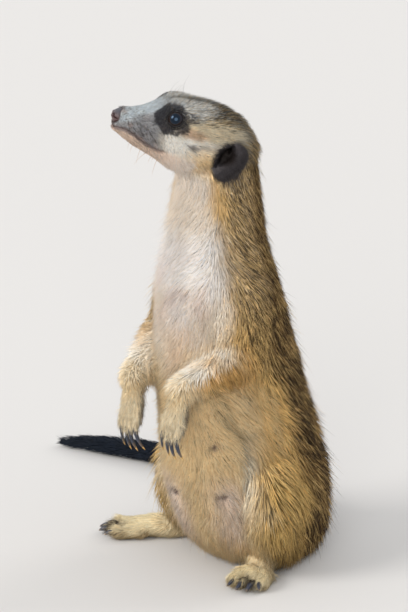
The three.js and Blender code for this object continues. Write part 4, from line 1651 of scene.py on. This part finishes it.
def place_bare_parts():
    """The eyes, the nose and the claws."""
    eye = material("eye", wet_eye)
    for side in SIDES:
        add_piece(eyeball(side), f"eyeball_{side}", eye, [f"eye_{side}"])
    add_piece(nose_pad(), "nose_pad", material("nose", nose_leather), ["nose"])
    claw_horn = material("claw", horn)
    for (kind, side), paw in paws.items():
        add_piece(claws_of(paw), f"claws_{kind}_{side}", claw_horn, paw.claws)


def make_meerkat():
    """The skin first, then the coat that grows on it, and the bare parts."""
    surface = sculpted_skin()
    at = Places(surface)
    fields = coat_fields(at)
    place_coat(surface, at, fields, material("coat", hair))
    place_skin(surface, at, fields)
    place_bare_parts()


# ---- Camera, floor and light ----

AZIMUTH, ELEVATION = math.radians(48), math.radians(18)
TARGET = Vector((-43.6, 8.3, 117.0)) * MM
DISTANCE = 2.2
LENS, SENSOR = 172.55, 24
FLOOR_HALF = 4
FLOOR_TONE = (0.73, 0.72, 0.71, 1)
BACKDROP_TONE = (0.86, 0.85, 0.83, 1)
SKY_TONE, SKY_STRENGTH = (0.985, 0.99, 1.0, 1), 0.66
# Far, broad lamps: which way each lies, its strength, how many degrees across it looks, and its colour.
LAMPS = {
    "key": ((-0.45, -1.60, 1.00), 1.65, 28, (1.0, 0.97, 0.93)),
    "fill": ((1.15, -1.45, 0.55), 1.2, 36, (1.0, 0.985, 0.96)),
    "rim": ((0.4, 1.9, 1.2), 0.6, 30, (1.0, 0.97, 0.93)),
}


def make_camera():
    camera = added("camera", bpy.data.cameras.new("camera"))
    level = Vector((math.sin(AZIMUTH), -math.cos(AZIMUTH), 0)) * math.cos(ELEVATION)
    toward = level + Vector((0, 0, math.sin(ELEVATION)))
    camera.location = TARGET + toward * DISTANCE
    camera.rotation_euler = toward.to_track_quat("Z", "Y").to_euler()
    camera.data.sensor_fit = "VERTICAL"
    camera.data.sensor_height = SENSOR
    camera.data.lens = LENS
    bpy.context.scene.camera = camera


def pale_floor(_):
    return {"Base Color": FLOOR_TONE, "Roughness": 0.9}


def make_floor():
    corners = [(x * FLOOR_HALF, y * FLOOR_HALF, 0) for x, y in ((-1, -1), (1, -1), (1, 1), (-1, 1))]
    mesh = bpy.data.meshes.new("floor")
    mesh.from_pydata(corners, [], [(0, 1, 2, 3)])
    mesh.materials.append(material("floor", pale_floor))
    added("floor", mesh)


def make_sky():
    """Soft light from all round; what the camera, gloss and glass see of it is a plain pale backdrop."""
    world = bpy.data.worlds.new("studio")
    bpy.context.scene.world = world
    world.use_nodes = True
    tree = Tree(world.node_tree)
    light = world.node_tree.nodes["Background"]
    tree.feed(light, {"Color": SKY_TONE, "Strength": SKY_STRENGTH})
    rays = tree.node("LightPath").node.outputs
    seen = rays["Is Camera Ray"]
    for kind in ("Is Glossy Ray", "Is Transmission Ray"):
        seen = tree.node("Math", {0: seen, 1: rays[kind]}, operation="MAXIMUM")
    backdrop = tree.node("Background", {"Color": BACKDROP_TONE})
    chosen = tree.node("MixShader", {"Fac": seen, 1: light.outputs["Background"], 2: backdrop})
    tree.feed(world.node_tree.nodes["World Output"], {"Surface": chosen})


def make_lamps():
    for name, (place, strength, breadth, tone) in LAMPS.items():
        lamp = bpy.data.lights.new(name, "SUN")
        lamp.energy = strength
        lamp.angle = math.radians(breadth)
        lamp.color = tone
        holder = added(name, lamp)
        holder.location = place
        holder.rotation_euler = Vector(place).to_track_quat("Z", "Y").to_euler()


make_meerkat()
make_camera()
make_floor()
make_sky()
make_lamps()
bpy.context.scene.view_settings.view_transform = "Standard"
